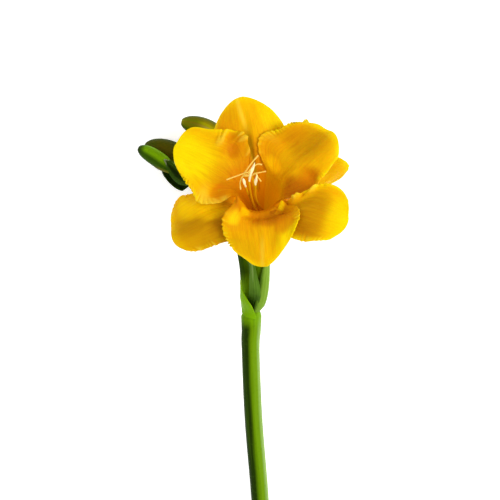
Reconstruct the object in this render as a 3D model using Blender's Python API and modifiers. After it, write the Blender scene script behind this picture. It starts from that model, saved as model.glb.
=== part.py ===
"""A cut freesia, laid down: a stem, an open yellow bloom, a half-open bloom behind it and three buds.

Lengths are in millimetres and angles in degrees, and MM turns a length into metres where it reaches
Blender. The flower lies on z = 0 along Y, with the cut end of its stem towards -Y, and the open bloom
looks up. Every flower grows along its own spine, from a node on the stem to its mouth or its tip.
"""

import math
from bisect import bisect_right
from dataclasses import dataclass

import bmesh
import bpy
from mathutils import Vector

MM = 0.001
UP = Vector((0.0, 0.0, 1.0))

# Clearance between two pieces that touch on the plant, and the thickness of its thin blades.
GAP = 0.3
BLADE = 0.6

# The stem from its cut end to the last bud: x, y, z of its centre line and its radius.
STEM = (
    (7.7, -80.0, 2.6, 2.85),
    (6.3, -53.4, 6.0, 2.95),
    (4.1, -26.1, 9.2, 3.0),
    (3.1, -2.4, 12.0, 3.0),
    (3.3, 4.3, 12.8, 3.25),
    (3.3, 9.3, 13.3, 3.45),
    (2.9, 11.3, 13.3, 2.6),
    (2.3, 15.0, 12.9, 2.3),
    (1.9, 19.3, 12.2, 2.1),
    (1.0, 27.0, 10.8, 1.9),
    (-1.0, 35.7, 9.5, 1.9),
    (-5.2, 43.2, 9.0, 1.5),
    (-9.2, 46.9, 8.8, 1.4),
    (-13.3, 49.9, 8.6, 1.2),
    (-17.3, 53.3, 8.8, 0.9),
)
STEM_RING_SPACING = 5.0
STEM_SIDES = 12

# A flower's foot is a short stub of the stem, and its ovary's ends have this share of its radius.
STUB_RADIUS = 1.3
OVARY_FOOT_SHARE = 0.7

# A bloom's tube: thickness of its wall, and the depths of its rim and of the tepals' roots under
# the mouth, where the whorls stand this far outside and inside the middle of the wall.
TUBE_WALL = 1.2
RIM_DEPTH = 0.9
ROOT_DEPTH = 1.8
WHORL_OFFSET = 0.22
ROOT_HALF_ANGLE = 38.0

# The thin parts inside a bloom, and how deep under its mouth the style leaves the middle of the tube.
FILAMENT_RADIUS = 0.35
ANTHER_RADIUS = 0.65
STYLE_RADIUS = 0.35
ARM_TIP_RADIUS = 0.25
STYLE_LEAVES_AT = 13.0

# Where along a tepal its blade is free of the tube's curve and in line with its tip, and how far a fold
# at its margin reaches across and along it, all as shares.
FREE_FROM = 0.4
TURN_TO = 0.55
FOLD_ACROSS = 0.3
FOLD_ALONG = 0.09

# The steps in which a midrib is worked out, and the halvings that find its end lean.
MIDRIB_STEPS = 40
HALVINGS = 40

# A bud's radius at its neck, and where along it is thickest.
BUD_NECK = 1.1
BUD_BELLY = 0.62

# A bract's width at its tip, and how far its corners fall back there, as shares of its width and length.
BRACT_TIP_SHARE = 0.2
BRACT_TIP_FALL = 0.08

# Steps of a path from one of its knots to the next.
KNOT_STEPS = 10

LEAF_GREEN = (0.07, 0.16, 0.02)
BRACT_GREEN = (0.16, 0.30, 0.05)
TEPAL_YELLOW = (0.95, 0.62, 0.01)
POLLEN_CREAM = (0.90, 0.84, 0.62)
STYLE_YELLOW = (0.93, 0.82, 0.30)
BUD_YELLOW_GREEN = (0.45, 0.45, 0.04)
BUD_OLIVE = (0.13, 0.17, 0.02)
BUD_GREEN = (0.20, 0.36, 0.03)


def smooth(share):
    """An even rise from 0 to 1 with level ends."""
    share = min(max(share, 0.0), 1.0)
    return share * share * (3.0 - 2.0 * share)


def mix(a, b, share):
    return a + (b - a) * share


class Path:
    """A smooth line in space that is read by the distance along it."""

    def __init__(self, points):
        self.points = points
        self.reached = [0.0]
        for a, b in zip(points, points[1:]):
            self.reached.append(self.reached[-1] + (b - a).length)
        self.length = self.reached[-1]

    @classmethod
    def bezier(cls, start, leave, arrive, end, steps=60):
        """The cubic curve from start to end that heads for leave and comes in from arrive."""
        corners = [Vector(p) for p in (start, leave, arrive, end)]
        points = []
        for i in range(steps + 1):
            t = i / steps
            weights = ((1 - t) ** 3, 3 * t * (1 - t) ** 2, 3 * t * t * (1 - t), t**3)
            points.append(sum((w * p for w, p in zip(weights, corners)), Vector((0, 0, 0))))
        return cls(points)

    @classmethod
    def through(cls, knots):
        """The line through all knots, each span bending as its neighbours do."""
        knots = [Vector(k) for k in knots]
        ends = [2 * knots[0] - knots[1], *knots, 2 * knots[-1] - knots[-2]]
        points = []
        for a, b, c, d in zip(ends, ends[1:], ends[2:], ends[3:]):
            for i in range(KNOT_STEPS):
                t = i / KNOT_STEPS
                cubic = (3 * b - a - 3 * c + d) * t**3
                square = (2 * a - 5 * b + 4 * c - d) * t * t
                points.append(0.5 * (cubic + square + (c - a) * t + 2 * b))
        return cls([*points, knots[-1]])

    def at(self, distance):
        distance = min(max(distance, 0.0), self.length)
        i = min(bisect_right(self.reached, distance), len(self.points) - 1)
        span = self.reached[i] - self.reached[i - 1]
        return self.points[i - 1].lerp(self.points[i], (distance - self.reached[i - 1]) / span)

    def knot_at(self, i):
        """The distance of the knot with that number, on a line through knots."""
        return self.reached[KNOT_STEPS * i]

    def ahead(self, distance, step=0.5):
        return (self.at(distance + step) - self.at(distance - step)).normalized()

    def round_about(self, distance, angle, radius):
        """The point at that radius, with the angle turning from straight up towards the right."""
        ahead = self.ahead(distance)
        right = ahead.cross(UP).normalized()
        above = right.cross(ahead)
        turn = math.radians(angle)
        return self.at(distance) + radius * (math.cos(turn) * above + math.sin(turn) * right)


STEM_PATH = Path.through([knot[:3] for knot in STEM])
STEM_KNOTS_AT = [STEM_PATH.knot_at(i) for i in range(len(STEM))]


def stem_radius(distance):
    i = min(max(bisect_right(STEM_KNOTS_AT, distance), 1), len(STEM) - 1)
    share = (distance - STEM_KNOTS_AT[i - 1]) / (STEM_KNOTS_AT[i] - STEM_KNOTS_AT[i - 1])
    return mix(STEM[i - 1][3], STEM[i][3], share)


def stem_clearance(point):
    """How far the point lies outside the stem's surface."""
    return min(
        (point - p).length - stem_radius(s) for p, s in zip(STEM_PATH.points, STEM_PATH.reached)
    )


def stations(start, end, spacing):
    count = max(2, round((end - start) / spacing))
    return [mix(start, end, i / count) for i in range(count + 1)]


@dataclass(frozen=True)
class Tepal:
    """One petal of a bloom: where its tip lies, how wide it is and how its blade is bent.

    Its two sides are given in the order in which they follow each other round the bloom's axis. Past
    its widest place its outline is half an oval.
    """

    angle: float  # of its tip round the axis
    reach: float  # of its tip from the axis
    rise: float  # of its tip over the mouth
    widths: tuple  # from the midrib to each margin
    root_turn: float = 0.0  # angle round the axis from its tip to its root
    widest: tuple = (0.5, 0.5)  # where along its length each side is widest
    tip_share: float = 0.7  # how much of its width the last cross-row of its faces still spans
    fullness: tuple = (2.0, 2.0)  # of each side: 2 makes an ellipse, less a point and more a square
    bend: float = 1.5  # how early it leans outwards
    cup: float = 0.0  # curvature across the blade, per millimetre
    lifts: tuple = (0.0, 0.0)  # how far each margin is raised
    ruffle: float = 1.0  # height of the waves at the margins
    waves: float = 2.5
    phase: float = 0.0
    folds: tuple = ()  # of each: the place across and along the blade, and the height
    inner: bool = True


@dataclass(frozen=True)
class Stamen:
    """Where a filament starts on the tube's wall, where it passes, and the two ends of its anther."""

    side: float
    depth: float
    waist: tuple
    foot: tuple
    tip: tuple


class Flower:
    """What a bloom and a bud share: a spine that starts on the stem, and the ovary at its foot."""

    def __init__(self, name, spine, ovary_radius, ovary_length):
        self.name = name
        self.spine = spine
        self.ovary_radius = ovary_radius
        clear = OVARY_FOOT_SHARE * ovary_radius + 2 * GAP
        self.foot = next(
            s for s in stations(0, spine.length, 0.1) if stem_clearance(spine.at(s + GAP)) > clear
        )
        self.ovary_from = self.foot + GAP
        self.ovary_to = self.ovary_from + ovary_length
        self.tube_from = self.ovary_to + GAP

    def stub(self):
        """The shoulder of the stem that this flower grows from."""
        return tube(self.name + "_stub", self.spine, lambda s: STUB_RADIUS, (0, self.foot), 8)

    def ovary(self, colour):
        def radius(s):
            share = (s - self.ovary_from) / (self.ovary_to - self.ovary_from)
            return self.ovary_radius * mix(OVARY_FOOT_SHARE, 1.0, math.sin(math.pi * share))

        places = stations(self.ovary_from, self.ovary_to, 1.0)
        return dress(tube(self.name + "_ovary", self.spine, radius, places, 10), colour, 0.5)


class Bloom(Flower):
    """An open flower: a funnel-shaped tube with six tepals in two whorls at its mouth."""

    def __init__(self, name, spine, across, mouth_radius, neck_radius, flare, tepals):
        super().__init__(name, spine, ovary_radius=1.9, ovary_length=5.5)
        self.mouth_radius = mouth_radius
        self.neck_radius = neck_radius
        self.flare = flare
        self.tepals = tepals
        self.mouth = spine.points[-1]
        self.axis = spine.ahead(spine.length)
        self.across = (Vector(across) - self.axis * self.axis.dot(Vector(across))).normalized()
        self.above = self.axis.cross(self.across)

    def outwards(self, angle):
        turn = math.radians(angle)
        return math.cos(turn) * self.across + math.sin(turn) * self.above

    def tube_radius(self, depth):
        """The outer radius of the tube at this depth under the mouth."""
        return mix(self.neck_radius, self.mouth_radius, math.exp(-depth / self.flare))

    def midrib(self, tepal):
        """Distance from the axis, height over the mouth and lean outwards, from root to tip.

        The lean changes from the slope of the tube's wall to an end lean. The end lean is halved in on
        until the midrib's height and width are in the right ratio, and the length then follows.
        """
        slope = (self.mouth_radius - self.neck_radius) / self.flare * math.exp(-ROOT_DEPTH / self.flare)
        root_lean = math.atan(slope)
        offset = -WHORL_OFFSET if tepal.inner else WHORL_OFFSET
        root_radius = self.tube_radius(ROOT_DEPTH) - TUBE_WALL / 2 + offset
        wide = tepal.reach - root_radius
        high = tepal.rise + ROOT_DEPTH
        low, top = -math.pi / 2, math.pi
        for _ in range(HALVINGS):
            end_lean = (low + top) / 2
            leans = [
                mix(root_lean, end_lean, 1 - (1 - (i + 0.5) / MIDRIB_STEPS) ** tepal.bend)
                for i in range(MIDRIB_STEPS)
            ]
            out = sum(map(math.sin, leans))
            up = sum(map(math.cos, leans))
            if up * wide > high * out:
                low = end_lean
            else:
                top = end_lean
        step = wide / out
        places = [(root_radius, -ROOT_DEPTH, root_lean)]
        for lean in leans:
            radius, height, _ = places[-1]
            places.append((radius + step * math.sin(lean), height + step * math.cos(lean), lean))
        return places

    def tepal_shape(self, tepal):
        places = self.midrib(tepal)
        root_half = self.mouth_radius * math.radians(ROOT_HALF_ANGLE)
        out = self.outwards(tepal.angle)
        side = self.outwards(tepal.angle + 90)

        def shape(u, v):
            full, widest = tepal.fullness[u > 0], tepal.widest[u > 0]
            beyond = max(0.0, v - widest)
            along = v - beyond + beyond * (1 - (tepal.tip_share * abs(u)) ** full) ** (1 / full)
            place = along * MIDRIB_STEPS
            i = min(int(place), MIDRIB_STEPS - 1)
            radius, height, lean = (mix(a, b, place - i) for a, b in zip(places[i], places[i + 1]))
            face = math.sin(lean) * self.axis - math.cos(lean) * out
            free = smooth(along / FREE_FROM)
            inwards = (-out).lerp(face, free).normalized()
            spread = smooth(v / widest)
            fall = beyond / (1 - widest)
            offset = u * mix(root_half, tepal.widths[u > 0], spread)
            offset *= (1 - (1 - tepal.tip_share**full) * fall**full) ** (1 / full)
            offset += (1 - smooth(v / TURN_TO)) * self.mouth_radius * math.radians(tepal.root_turn)
            bend = mix(1 / self.mouth_radius, tepal.cup, free) or 1e-9
            crossing = side * (math.sin(bend * offset) / bend)
            crossing += inwards * ((1 - math.cos(bend * offset)) / bend)
            edge = abs(u) ** 3 * math.sin(math.tau * (tepal.waves * along + tepal.phase + 0.2 * u))
            tip = along**5 * math.sin(math.tau * (tepal.waves * 0.5 * u + tepal.phase))
            wave = free * (tepal.ruffle * (edge + 0.6 * tip) + tepal.lifts[u > 0] * u * u)
            for fold_u, fold_v, height_there in tepal.folds:
                off = ((u - fold_u) / FOLD_ACROSS) ** 2 + ((along - fold_v) / FOLD_ALONG) ** 2
                wave += height_there * math.exp(-off)
            return self.mouth + out * radius + self.axis * height + crossing + face * wave

        return shape

    def spot(self, angle, radius, height):
        """The place at that angle round the axis and distance from it, so high over the mouth."""
        return self.mouth + self.outwards(angle) * radius + self.axis * height

    def stamen(self, number, stamen):
        """A filament that stands on the tube's inner wall, and the anther that it swells into."""
        clear = self.tube_radius(stamen.depth) - TUBE_WALL - GAP - FILAMENT_RADIUS
        start = self.spine.round_about(self.spine.length - stamen.depth, stamen.side, clear)
        path = Path.through([start, stamen.waist, stamen.foot, stamen.tip])
        anther_from = path.knot_at(2)

        def radius(s):
            share = (s - anther_from) / (path.length - anther_from)
            if share <= 0:
                return FILAMENT_RADIUS
            swell = math.sqrt(max(0.0, 1 - (2 * share - 1) ** 2))
            return max(0.2, ANTHER_RADIUS * swell, FILAMENT_RADIUS * (1 - share))

        places = stations(0, anther_from, 2.5) + stations(anther_from, path.length, 0.9)[1:]
        stamen_piece = tube(f"{self.name}_stamen_{number}", path, radius, places, 8)
        return dress(stamen_piece, POLLEN_CREAM, 0.7)

    def style(self, knots, forks):
        """The style, which stands on the ovary, and its three branches of two arms each."""
        end = self.spine.length
        inside = [self.spine.at(s) for s in stations(self.tube_from, end - STYLE_LEAVES_AT, 3.0)]
        path = Path.through([*inside, *knots])
        places = stations(0, path.length, 3.0)
        style = as_mesh(tube(self.name + "_style", path, lambda s: STYLE_RADIUS, places, 8))
        arms = []
        for i, (fork, *ends) in enumerate(forks):
            for j, knots_out in enumerate(ends):
                arm = Path.through([path.points[-1], fork, *knots_out])
                name = f"{self.name}_arm_{i}_{j}"
                thin = lambda s, long=arm.length: mix(STYLE_RADIUS, ARM_TIP_RADIUS, s / long)
                arms.append(as_mesh(tube(name, arm, thin, stations(0, arm.length, 1.6), 6)))
        return dress(join(style, arms), STYLE_YELLOW, 0.6)

    def perianth(self, columns, rows, sides):
        """The tube and its six tepals, grown as one piece."""
        end = self.spine.length
        depths = (RIM_DEPTH, 2.2, 3.5, 5.0, 7.5, 11.0, 16.0, 22.0, 28.0)
        places = [end - d for d in depths if end - d > self.tube_from + 2.5]
        funnel = as_mesh(
            tube(
                self.name + "_perianth",
                self.spine,
                lambda s: self.tube_radius(end - s),
                [self.tube_from, *reversed(places)],
                sides,
                capped=False,
            )
        )
        thicken(funnel, TUBE_WALL, offset=-1)
        blades = [
            sheet(f"{self.name}_tepal_{i}", self.tepal_shape(tepal), columns, rows)
            for i, tepal in enumerate(self.tepals, 1)
        ]
        return dress(join(funnel, blades), TEPAL_YELLOW, 0.55)


class Bud(Flower):
    """A closed flower: three outer tepals folded round each other into a spindle."""

    def __init__(self, name, spine, radius, colour, ovary_length=3.5):
        super().__init__(name, spine, ovary_radius=1.25, ovary_length=ovary_length)
        self.radius = radius
        self.colour = colour

    def body(self):
        length = self.spine.length - self.tube_from

        def radius(s):
            share = (s - self.tube_from) / length
            if share < BUD_BELLY:
                return mix(BUD_NECK, self.radius, smooth(share / BUD_BELLY))
            return self.radius * math.sqrt(1 - 0.95 * ((share - BUD_BELLY) / (1 - BUD_BELLY)) ** 2.2)

        even = stations(self.tube_from, self.spine.length, length / 14)
        places = [*even[:-1], mix(even[-2], even[-1], 0.6), even[-1]]
        return dress(as_mesh(tube(self.name, self.spine, radius, places, 12)), self.colour, 0.45)


@dataclass(frozen=True)
class Bract:
    """A small green leaf that wraps the foot of a flower."""

    name: str
    middle: float  # angle of its foot's middle round the spine, from straight up towards the right
    spread: float  # angle from its midrib to its margin, at its foot
    radius: float  # of its foot, to the middle of its thickness
    tip_radius: float
    start: float  # least distance of its foot along the spine
    end: float  # distance of its tip
    taper: float = 2.5  # how late it narrows: 1 makes its sides straight
    tip_turn: float = 0.0  # angle from its foot's middle to its tip, round the spine

    def foot(self, path, u):
        """Where the bract can start at that place across it: on the stem's surface, if that is in its way."""
        angle = self.middle + u * self.spread
        for s in stations(self.start, self.end, 0.2):
            if stem_clearance(path.round_about(s, angle, self.radius)) >= GAP + BLADE / 2:
                return s
        return self.end

    def shape(self, path, columns):
        """Its surface, whose foot runs straight from its midrib to each margin, clear of the stem."""
        margins = (self.foot(path, -1), self.foot(path, 1))
        middle = self.foot(path, 0)
        places = [2 * i / columns - 1 for i in range(columns + 1)]
        run = lambda u: mix(middle, margins[u > 0], abs(u))
        raised = max(self.foot(path, u) - run(u) for u in places)

        def point(u, v):
            low = run(u) + raised
            high = mix(low, self.end, 1 - BRACT_TIP_FALL * abs(u) ** 1.5)
            angle = self.middle + u * self.spread * mix(1, BRACT_TIP_SHARE, v**self.taper)
            angle += self.tip_turn * v
            return path.round_about(mix(low, high, v), angle, mix(self.radius, self.tip_radius, v))

        return point

    def blade(self, path, columns=4, rows=6):
        return dress(sheet(self.name, self.shape(path, columns), columns, rows), BRACT_GREEN, 0.5)


def new_object(name, data):
    obj = bpy.data.objects.new(name, data)
    bpy.context.scene.collection.objects.link(obj)
    return obj


def tube(name, path, radius, places, sides, capped=True):
    """A round piece that follows the path, with radius(s) at each of the given distances."""
    curve = bpy.data.curves.new(name, "CURVE")
    curve.dimensions = "3D"
    curve.bevel_depth = MM
    curve.bevel_resolution = (sides - 4) // 2
    curve.use_fill_caps = capped
    spline = curve.splines.new("POLY")
    spline.points.add(len(places) - 1)
    for point, s in zip(spline.points, places):
        point.co = (*(path.at(s) * MM), 1.0)
        point.radius = radius(s)
    return new_object(name, curve)


def as_mesh(obj):
    """The curve object as a mesh object, with its caps welded on."""
    graph = bpy.context.evaluated_depsgraph_get()
    mesh = bpy.data.meshes.new_from_object(obj.evaluated_get(graph))
    shape = bmesh.new()
    shape.from_mesh(mesh)
    bmesh.ops.remove_doubles(shape, verts=shape.verts, dist=1e-6)
    if not any(edge.is_boundary for edge in shape.edges):
        bmesh.ops.recalc_face_normals(shape, faces=shape.faces)
    shape.to_mesh(mesh)
    shape.free()
    name, place = obj.name, obj.matrix_world.copy()
    bpy.data.objects.remove(obj)
    made = new_object(name, mesh)
    made.matrix_world = place
    return made


def sheet(name, shape, columns, rows):
    """A blade: the grid point (u, v), u from -1 to 1 and v from 0 to 1, goes to shape(u, v)."""
    grid = bmesh.new()
    bmesh.ops.create_grid(grid, x_segments=columns, y_segments=rows, size=1.0)
    for vert in grid.verts:
        vert.co = shape(round(vert.co.x, 6), (vert.co.y + 1) / 2) * MM
    bmesh.ops.triangulate(grid, faces=grid.faces)
    mesh = bpy.data.meshes.new(name)
    grid.to_mesh(mesh)
    grid.free()
    return thicken(new_object(name, mesh), BLADE)


def thicken(obj, thickness, offset=0.0):
    wall = obj.modifiers.new("Wall", "SOLIDIFY")
    wall.thickness = thickness * MM
    wall.offset = offset
    return obj


def join(target, others):
    """Unites the other objects with the target in one mesh and removes them."""
    group = bpy.data.collections.new("joined")
    bpy.context.scene.collection.children.link(group)
    for other in others:
        group.objects.link(other)
    union = target.modifiers.new("Union", "BOOLEAN")
    union.operation = "UNION"
    union.operand_type = "COLLECTION"
    union.collection = group
    graph = bpy.context.evaluated_depsgraph_get()
    mesh = bpy.data.meshes.new_from_object(target.evaluated_get(graph))
    target.modifiers.clear()
    target.data = mesh
    for other in others:
        bpy.data.objects.remove(other)
    bpy.data.collections.remove(group)
    return target


def rest_flat(obj):
    """Cuts a flat spot where the mesh dips under the surface that the flower lies on."""
    shape = bmesh.new()
    shape.from_mesh(obj.data)
    everything = [*shape.verts, *shape.edges, *shape.faces]
    bmesh.ops.bisect_plane(shape, geom=everything, plane_co=(0, 0, 0), plane_no=UP, clear_inner=True)
    bmesh.ops.holes_fill(shape, edges=[e for e in shape.edges if e.is_boundary])
    shape.to_mesh(obj.data)
    shape.free()
    return obj


def dress(obj, colour, roughness):
    """Gives the object its own material and shades it smooth."""
    material = bpy.data.materials.new(obj.name)
    material.use_nodes = True
    shader = material.node_tree.nodes["Principled BSDF"]
    shader.inputs["Base Color"].default_value = (*colour, 1.0)
    shader.inputs["Roughness"].default_value = roughness
    shader.inputs["Metallic"].default_value = 0.0
    obj.data.materials.clear()
    obj.data.materials.append(material)
    if obj.type == "MESH":
        obj.data.shade_smooth()
        obj.data.set_sharp_from_angle(angle=math.radians(50))
    return obj


OPEN_BLOOM = Bloom(
    "bloom_1",
    Path.bezier((3.4, 10.3, 13.5), (6.4, 16.8, 19.0), (7.6, 41.1, 22.3), (5.5, 50.5, 40.0)),
    across=(1, 0, 0),
    mouth_radius=10.0,
    neck_radius=2.0,
    flare=8.5,
    tepals=(
        Tepal(98, 29.4, 10.0, (12.3, 12.0), widest=(0.45, 0.45), fullness=(1.6, 1.8), cup=-0.03,
              lifts=(-1.5, -1.5), ruffle=0.4, waves=2.0, inner=False),
        Tepal(153, 29.6, 7.0, (11.2, 12.8), widest=(0.36, 0.36), fullness=(3.2, 1.5), cup=0.02,
              lifts=(0.0, 0.5), ruffle=0.4),
        Tepal(33, 29.7, 6.0, (10.4, 12.0), widest=(0.4, 0.28), fullness=(2.2, 1.75), cup=0.02,
              lifts=(-2.0, 0.0), ruffle=0.5, waves=3.0, phase=0.3),
        Tepal(207, 30.6, 0.0, (8.8, 12.2), root_turn=10, widest=(0.45, 0.4), fullness=(3.4, 3.0),
              cup=-0.01, lifts=(-1.0, -1.0), ruffle=0.4, waves=2.0, bend=2.5, inner=False),
        Tepal(-25, 30.8, 1.0, (12.0, 8.6), root_turn=-30, widest=(0.5, 0.72), fullness=(2.6, 2.2),
              lifts=(-3.0, 0.5), ruffle=0.5, phase=0.5, bend=2.5, inner=False),
        Tepal(-84.5, 27.4, -2.0, (12.8, 12.8), widest=(0.3, 0.3), fullness=(1.8, 1.25), cup=0.02,
              lifts=(0.0, 0.8), ruffle=0.8, waves=2.0, phase=0.1, bend=3.0,
              folds=((-0.8, 0.15, 5.0), (0.8, 0.17, -3.0))),
    ),
)
OPEN_STAMENS = (
    Stamen(0, 13.0, (5.2, 46.4, 37.0), (2.7, 52.7, 49.7), (4.4, 58.6, 50.2)),
    Stamen(100, 13.0, (6.4, 46.9, 37.0), (4.6, 51.6, 48.7), (5.1, 54.8, 50.6)),
    Stamen(-100, 13.0, (4.3, 47.3, 37.0), (1.5, 51.1, 47.8), (0.7, 53.6, 50.0)),
)
OPEN_STYLE = ((5.4, 48.0, 37.0), (4.2, 51.6, 44.0), (3.4, 54.6, 46.8))
OPEN_FORKS = (
    (
        (0.9, 54.6, 47.4),
        ((2.1, 56.7, 47.9), (3.8, 59.0, 47.9), (5.5, 60.9, 47.8)),
        ((-0.2, 52.5, 47.6), (-0.1, 50.2, 47.2)),
    ),
    (
        (2.4, 55.6, 47.8),
        ((-1.8, 54.2, 48.6), (-4.5, 53.2, 48.3)),
        ((4.9, 58.0, 48.0), (6.7, 58.0, 47.9)),
    ),
    (
        (4.6, 55.2, 47.5),
        ((7.9, 55.9, 47.8),),
        ((5.4, 54.0, 47.3), (6.4, 52.7, 47.2)),
    ),
)

HALF_OPEN_BLOOM = Bloom(
    "bloom_2",
    Path.bezier((-1.0, 35.7, 9.5), (3.6, 41.7, 11.7), (8.5, 46.3, 13.0), (15.0, 52.5, 13.5)),
    across=(-0.69, 0.72, 0),
    mouth_radius=6.0,
    neck_radius=2.0,
    flare=6.5,
    tepals=(
        Tepal(70, 12.5, 22.0, (8.0, 8.0), cup=0.08, ruffle=0.5, waves=2.0),
        Tepal(190, 9.6, 20.0, (7.5, 7.5), cup=0.08, ruffle=0.3, waves=2.0, phase=0.2),
        Tepal(310, 12.0, 19.0, (7.5, 7.5), cup=0.08, ruffle=0.5, waves=2.0, phase=0.4),
        Tepal(22, 12.0, 20.0, (7.0, 7.0), cup=0.08, ruffle=0.5, waves=2.0, phase=0.6, inner=False),
        Tepal(130, 12.5, 20.0, (7.0, 7.0), cup=0.08, ruffle=0.5, waves=2.0, inner=False),
        Tepal(255, 14.4, 18.0, (7.0, 7.0), cup=0.08, ruffle=0.3, waves=2.0, phase=0.3, inner=False),
    ),
)

HALF_OPEN_STAMENS = [
    Stamen(
        side,
        7.0,
        HALF_OPEN_BLOOM.spot(angle, 1.3, -1.0),
        HALF_OPEN_BLOOM.spot(angle, 1.6, 6.0),
        HALF_OPEN_BLOOM.spot(angle, 2.0, 12.0),
    )
    for side, angle in ((0, 90), (-120, 330), (120, 210))
]
HALF_OPEN_STYLE = [HALF_OPEN_BLOOM.spot(0, 0.0, height) for height in (-3.0, 6.0, 13.5)]
HALF_OPEN_FORKS = [
    (
        HALF_OPEN_BLOOM.spot(angle, 1.0, 15.0),
        (HALF_OPEN_BLOOM.spot(angle - 25, 3.0, 16.5),),
        (HALF_OPEN_BLOOM.spot(angle + 25, 3.0, 16.5),),
    )
    for angle in (30, 150, 270)
]

UPPER_BUD = Bud(
    "bud_3",
    Path.bezier((-9.2, 46.9, 8.8), (-3.4, 61.8, 8.6), (-3.5, 70.7, 8.8), (-20.2, 74.2, 9.0)),
    radius=4.0,
    colour=BUD_YELLOW_GREEN,
)
LOWER_BUD = Bud(
    "bud_4",
    Path.bezier((-13.3, 49.9, 8.6), (-12.6, 57.5, 4.3), (-17.0, 64.2, 3.4), (-32.9, 66.2, 3.6)),
    radius=4.0,
    colour=BUD_OLIVE,
)
END_BUD = Bud(
    "bud_5",
    Path.bezier((-17.3, 53.3, 8.8), (-22.3, 56.4, 10.5), (-26.5, 61.5, 11.4), (-34.6, 65.3, 10.6)),
    radius=2.8,
    colour=BUD_GREEN,
    ovary_length=3.0,
)
BUDS = (UPPER_BUD, LOWER_BUD, END_BUD)

BRACTS = (
    (OPEN_BLOOM, Bract("sheath_bract", -28, 66, 4.3, 5.8, 0.0, 11.5, taper=1.2, tip_turn=-63)),
    (OPEN_BLOOM, Bract("bloom_1_bract_right", 75, 72, 2.75, 3.1, 1.0, 27.0, taper=4.0)),
    (OPEN_BLOOM, Bract("bloom_1_bract_left", 5, 35, 3.6, 4.1, 3.0, 23.0, taper=2.0, tip_turn=-50)),
    (HALF_OPEN_BLOOM, Bract("bloom_2_bract_upper", 0, 78, 2.8, 3.5, 1.0, 12.5)),
    (HALF_OPEN_BLOOM, Bract("bloom_2_bract_lower", 180, 78, 2.8, 3.4, 1.0, 11.5)),
    (UPPER_BUD, Bract("bud_3_bract_upper", 0, 76, 2.0, 2.4, 0.5, 11.0)),
    (UPPER_BUD, Bract("bud_3_bract_lower", 180, 76, 2.0, 2.4, 0.5, 10.0)),
    (LOWER_BUD, Bract("bud_4_bract_upper", 0, 76, 2.0, 2.6, 0.5, 10.5)),
    (LOWER_BUD, Bract("bud_4_bract_lower", 180, 76, 2.0, 2.6, 0.5, 9.5)),
    (END_BUD, Bract("bud_5_bract_upper", 20, 80, 2.3, 3.3, 0.5, 12.0)),
    (END_BUD, Bract("bud_5_bract_lower", 200, 76, 2.3, 3.2, 0.5, 10.5)),
)
FLOWERS = (OPEN_BLOOM, HALF_OPEN_BLOOM, *BUDS)


def build_stem():
    places = [0.0]
    for a, b in zip(STEM_KNOTS_AT, STEM_KNOTS_AT[1:]):
        places += stations(a, b, STEM_RING_SPACING)[1:]
    stem = as_mesh(tube("stem", STEM_PATH, stem_radius, places, STEM_SIDES))
    stem = join(stem, [as_mesh(flower.stub()) for flower in FLOWERS])
    return dress(rest_flat(stem), LEAF_GREEN, 0.5)


def main():
    for obj in list(bpy.data.objects):
        bpy.data.objects.remove(obj)
    pieces = [build_stem()]
    pieces += [bract.blade(flower.spine) for flower, bract in BRACTS]
    pieces += [flower.ovary(BRACT_GREEN) for flower in FLOWERS]
    pieces += [OPEN_BLOOM.perianth(10, 11, 24), HALF_OPEN_BLOOM.perianth(7, 7, 16)]
    pieces += [OPEN_BLOOM.style(OPEN_STYLE, OPEN_FORKS)]
    pieces += [HALF_OPEN_BLOOM.style(HALF_OPEN_STYLE, HALF_OPEN_FORKS)]
    for bloom, stamens in ((OPEN_BLOOM, OPEN_STAMENS), (HALF_OPEN_BLOOM, HALF_OPEN_STAMENS)):
        pieces += [bloom.stamen(i, stamen) for i, stamen in enumerate(stamens, 1)]
    pieces += [bud.body() for bud in BUDS]
    rest_flat(bpy.data.objects["bud_4"])
    plant = bpy.data.collections.new("freesia")
    bpy.context.scene.collection.children.link(plant)
    for piece in pieces:
        bpy.context.scene.collection.objects.unlink(piece)
        plant.objects.link(piece)


if __name__ == "__main__":
    main()
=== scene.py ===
"""The finished cut freesia: petals, bracts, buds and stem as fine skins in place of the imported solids.

Lengths are in millimetres and angles in degrees, and MM turns a length into metres where it reaches
Blender. The flower lies on z = 0 along Y with its cut end towards -Y, and the open bloom looks up at the
camera. A petal's skin is laid out by u, from -1 to 1 across it, and v, from 0 at its root to 1 at its tip.
"""

from __future__ import annotations

import logging
import math
from bisect import bisect_right
from collections.abc import Callable, Sequence
from dataclasses import dataclass, field
from enum import Enum

import bmesh
import bpy
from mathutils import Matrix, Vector, noise

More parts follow.
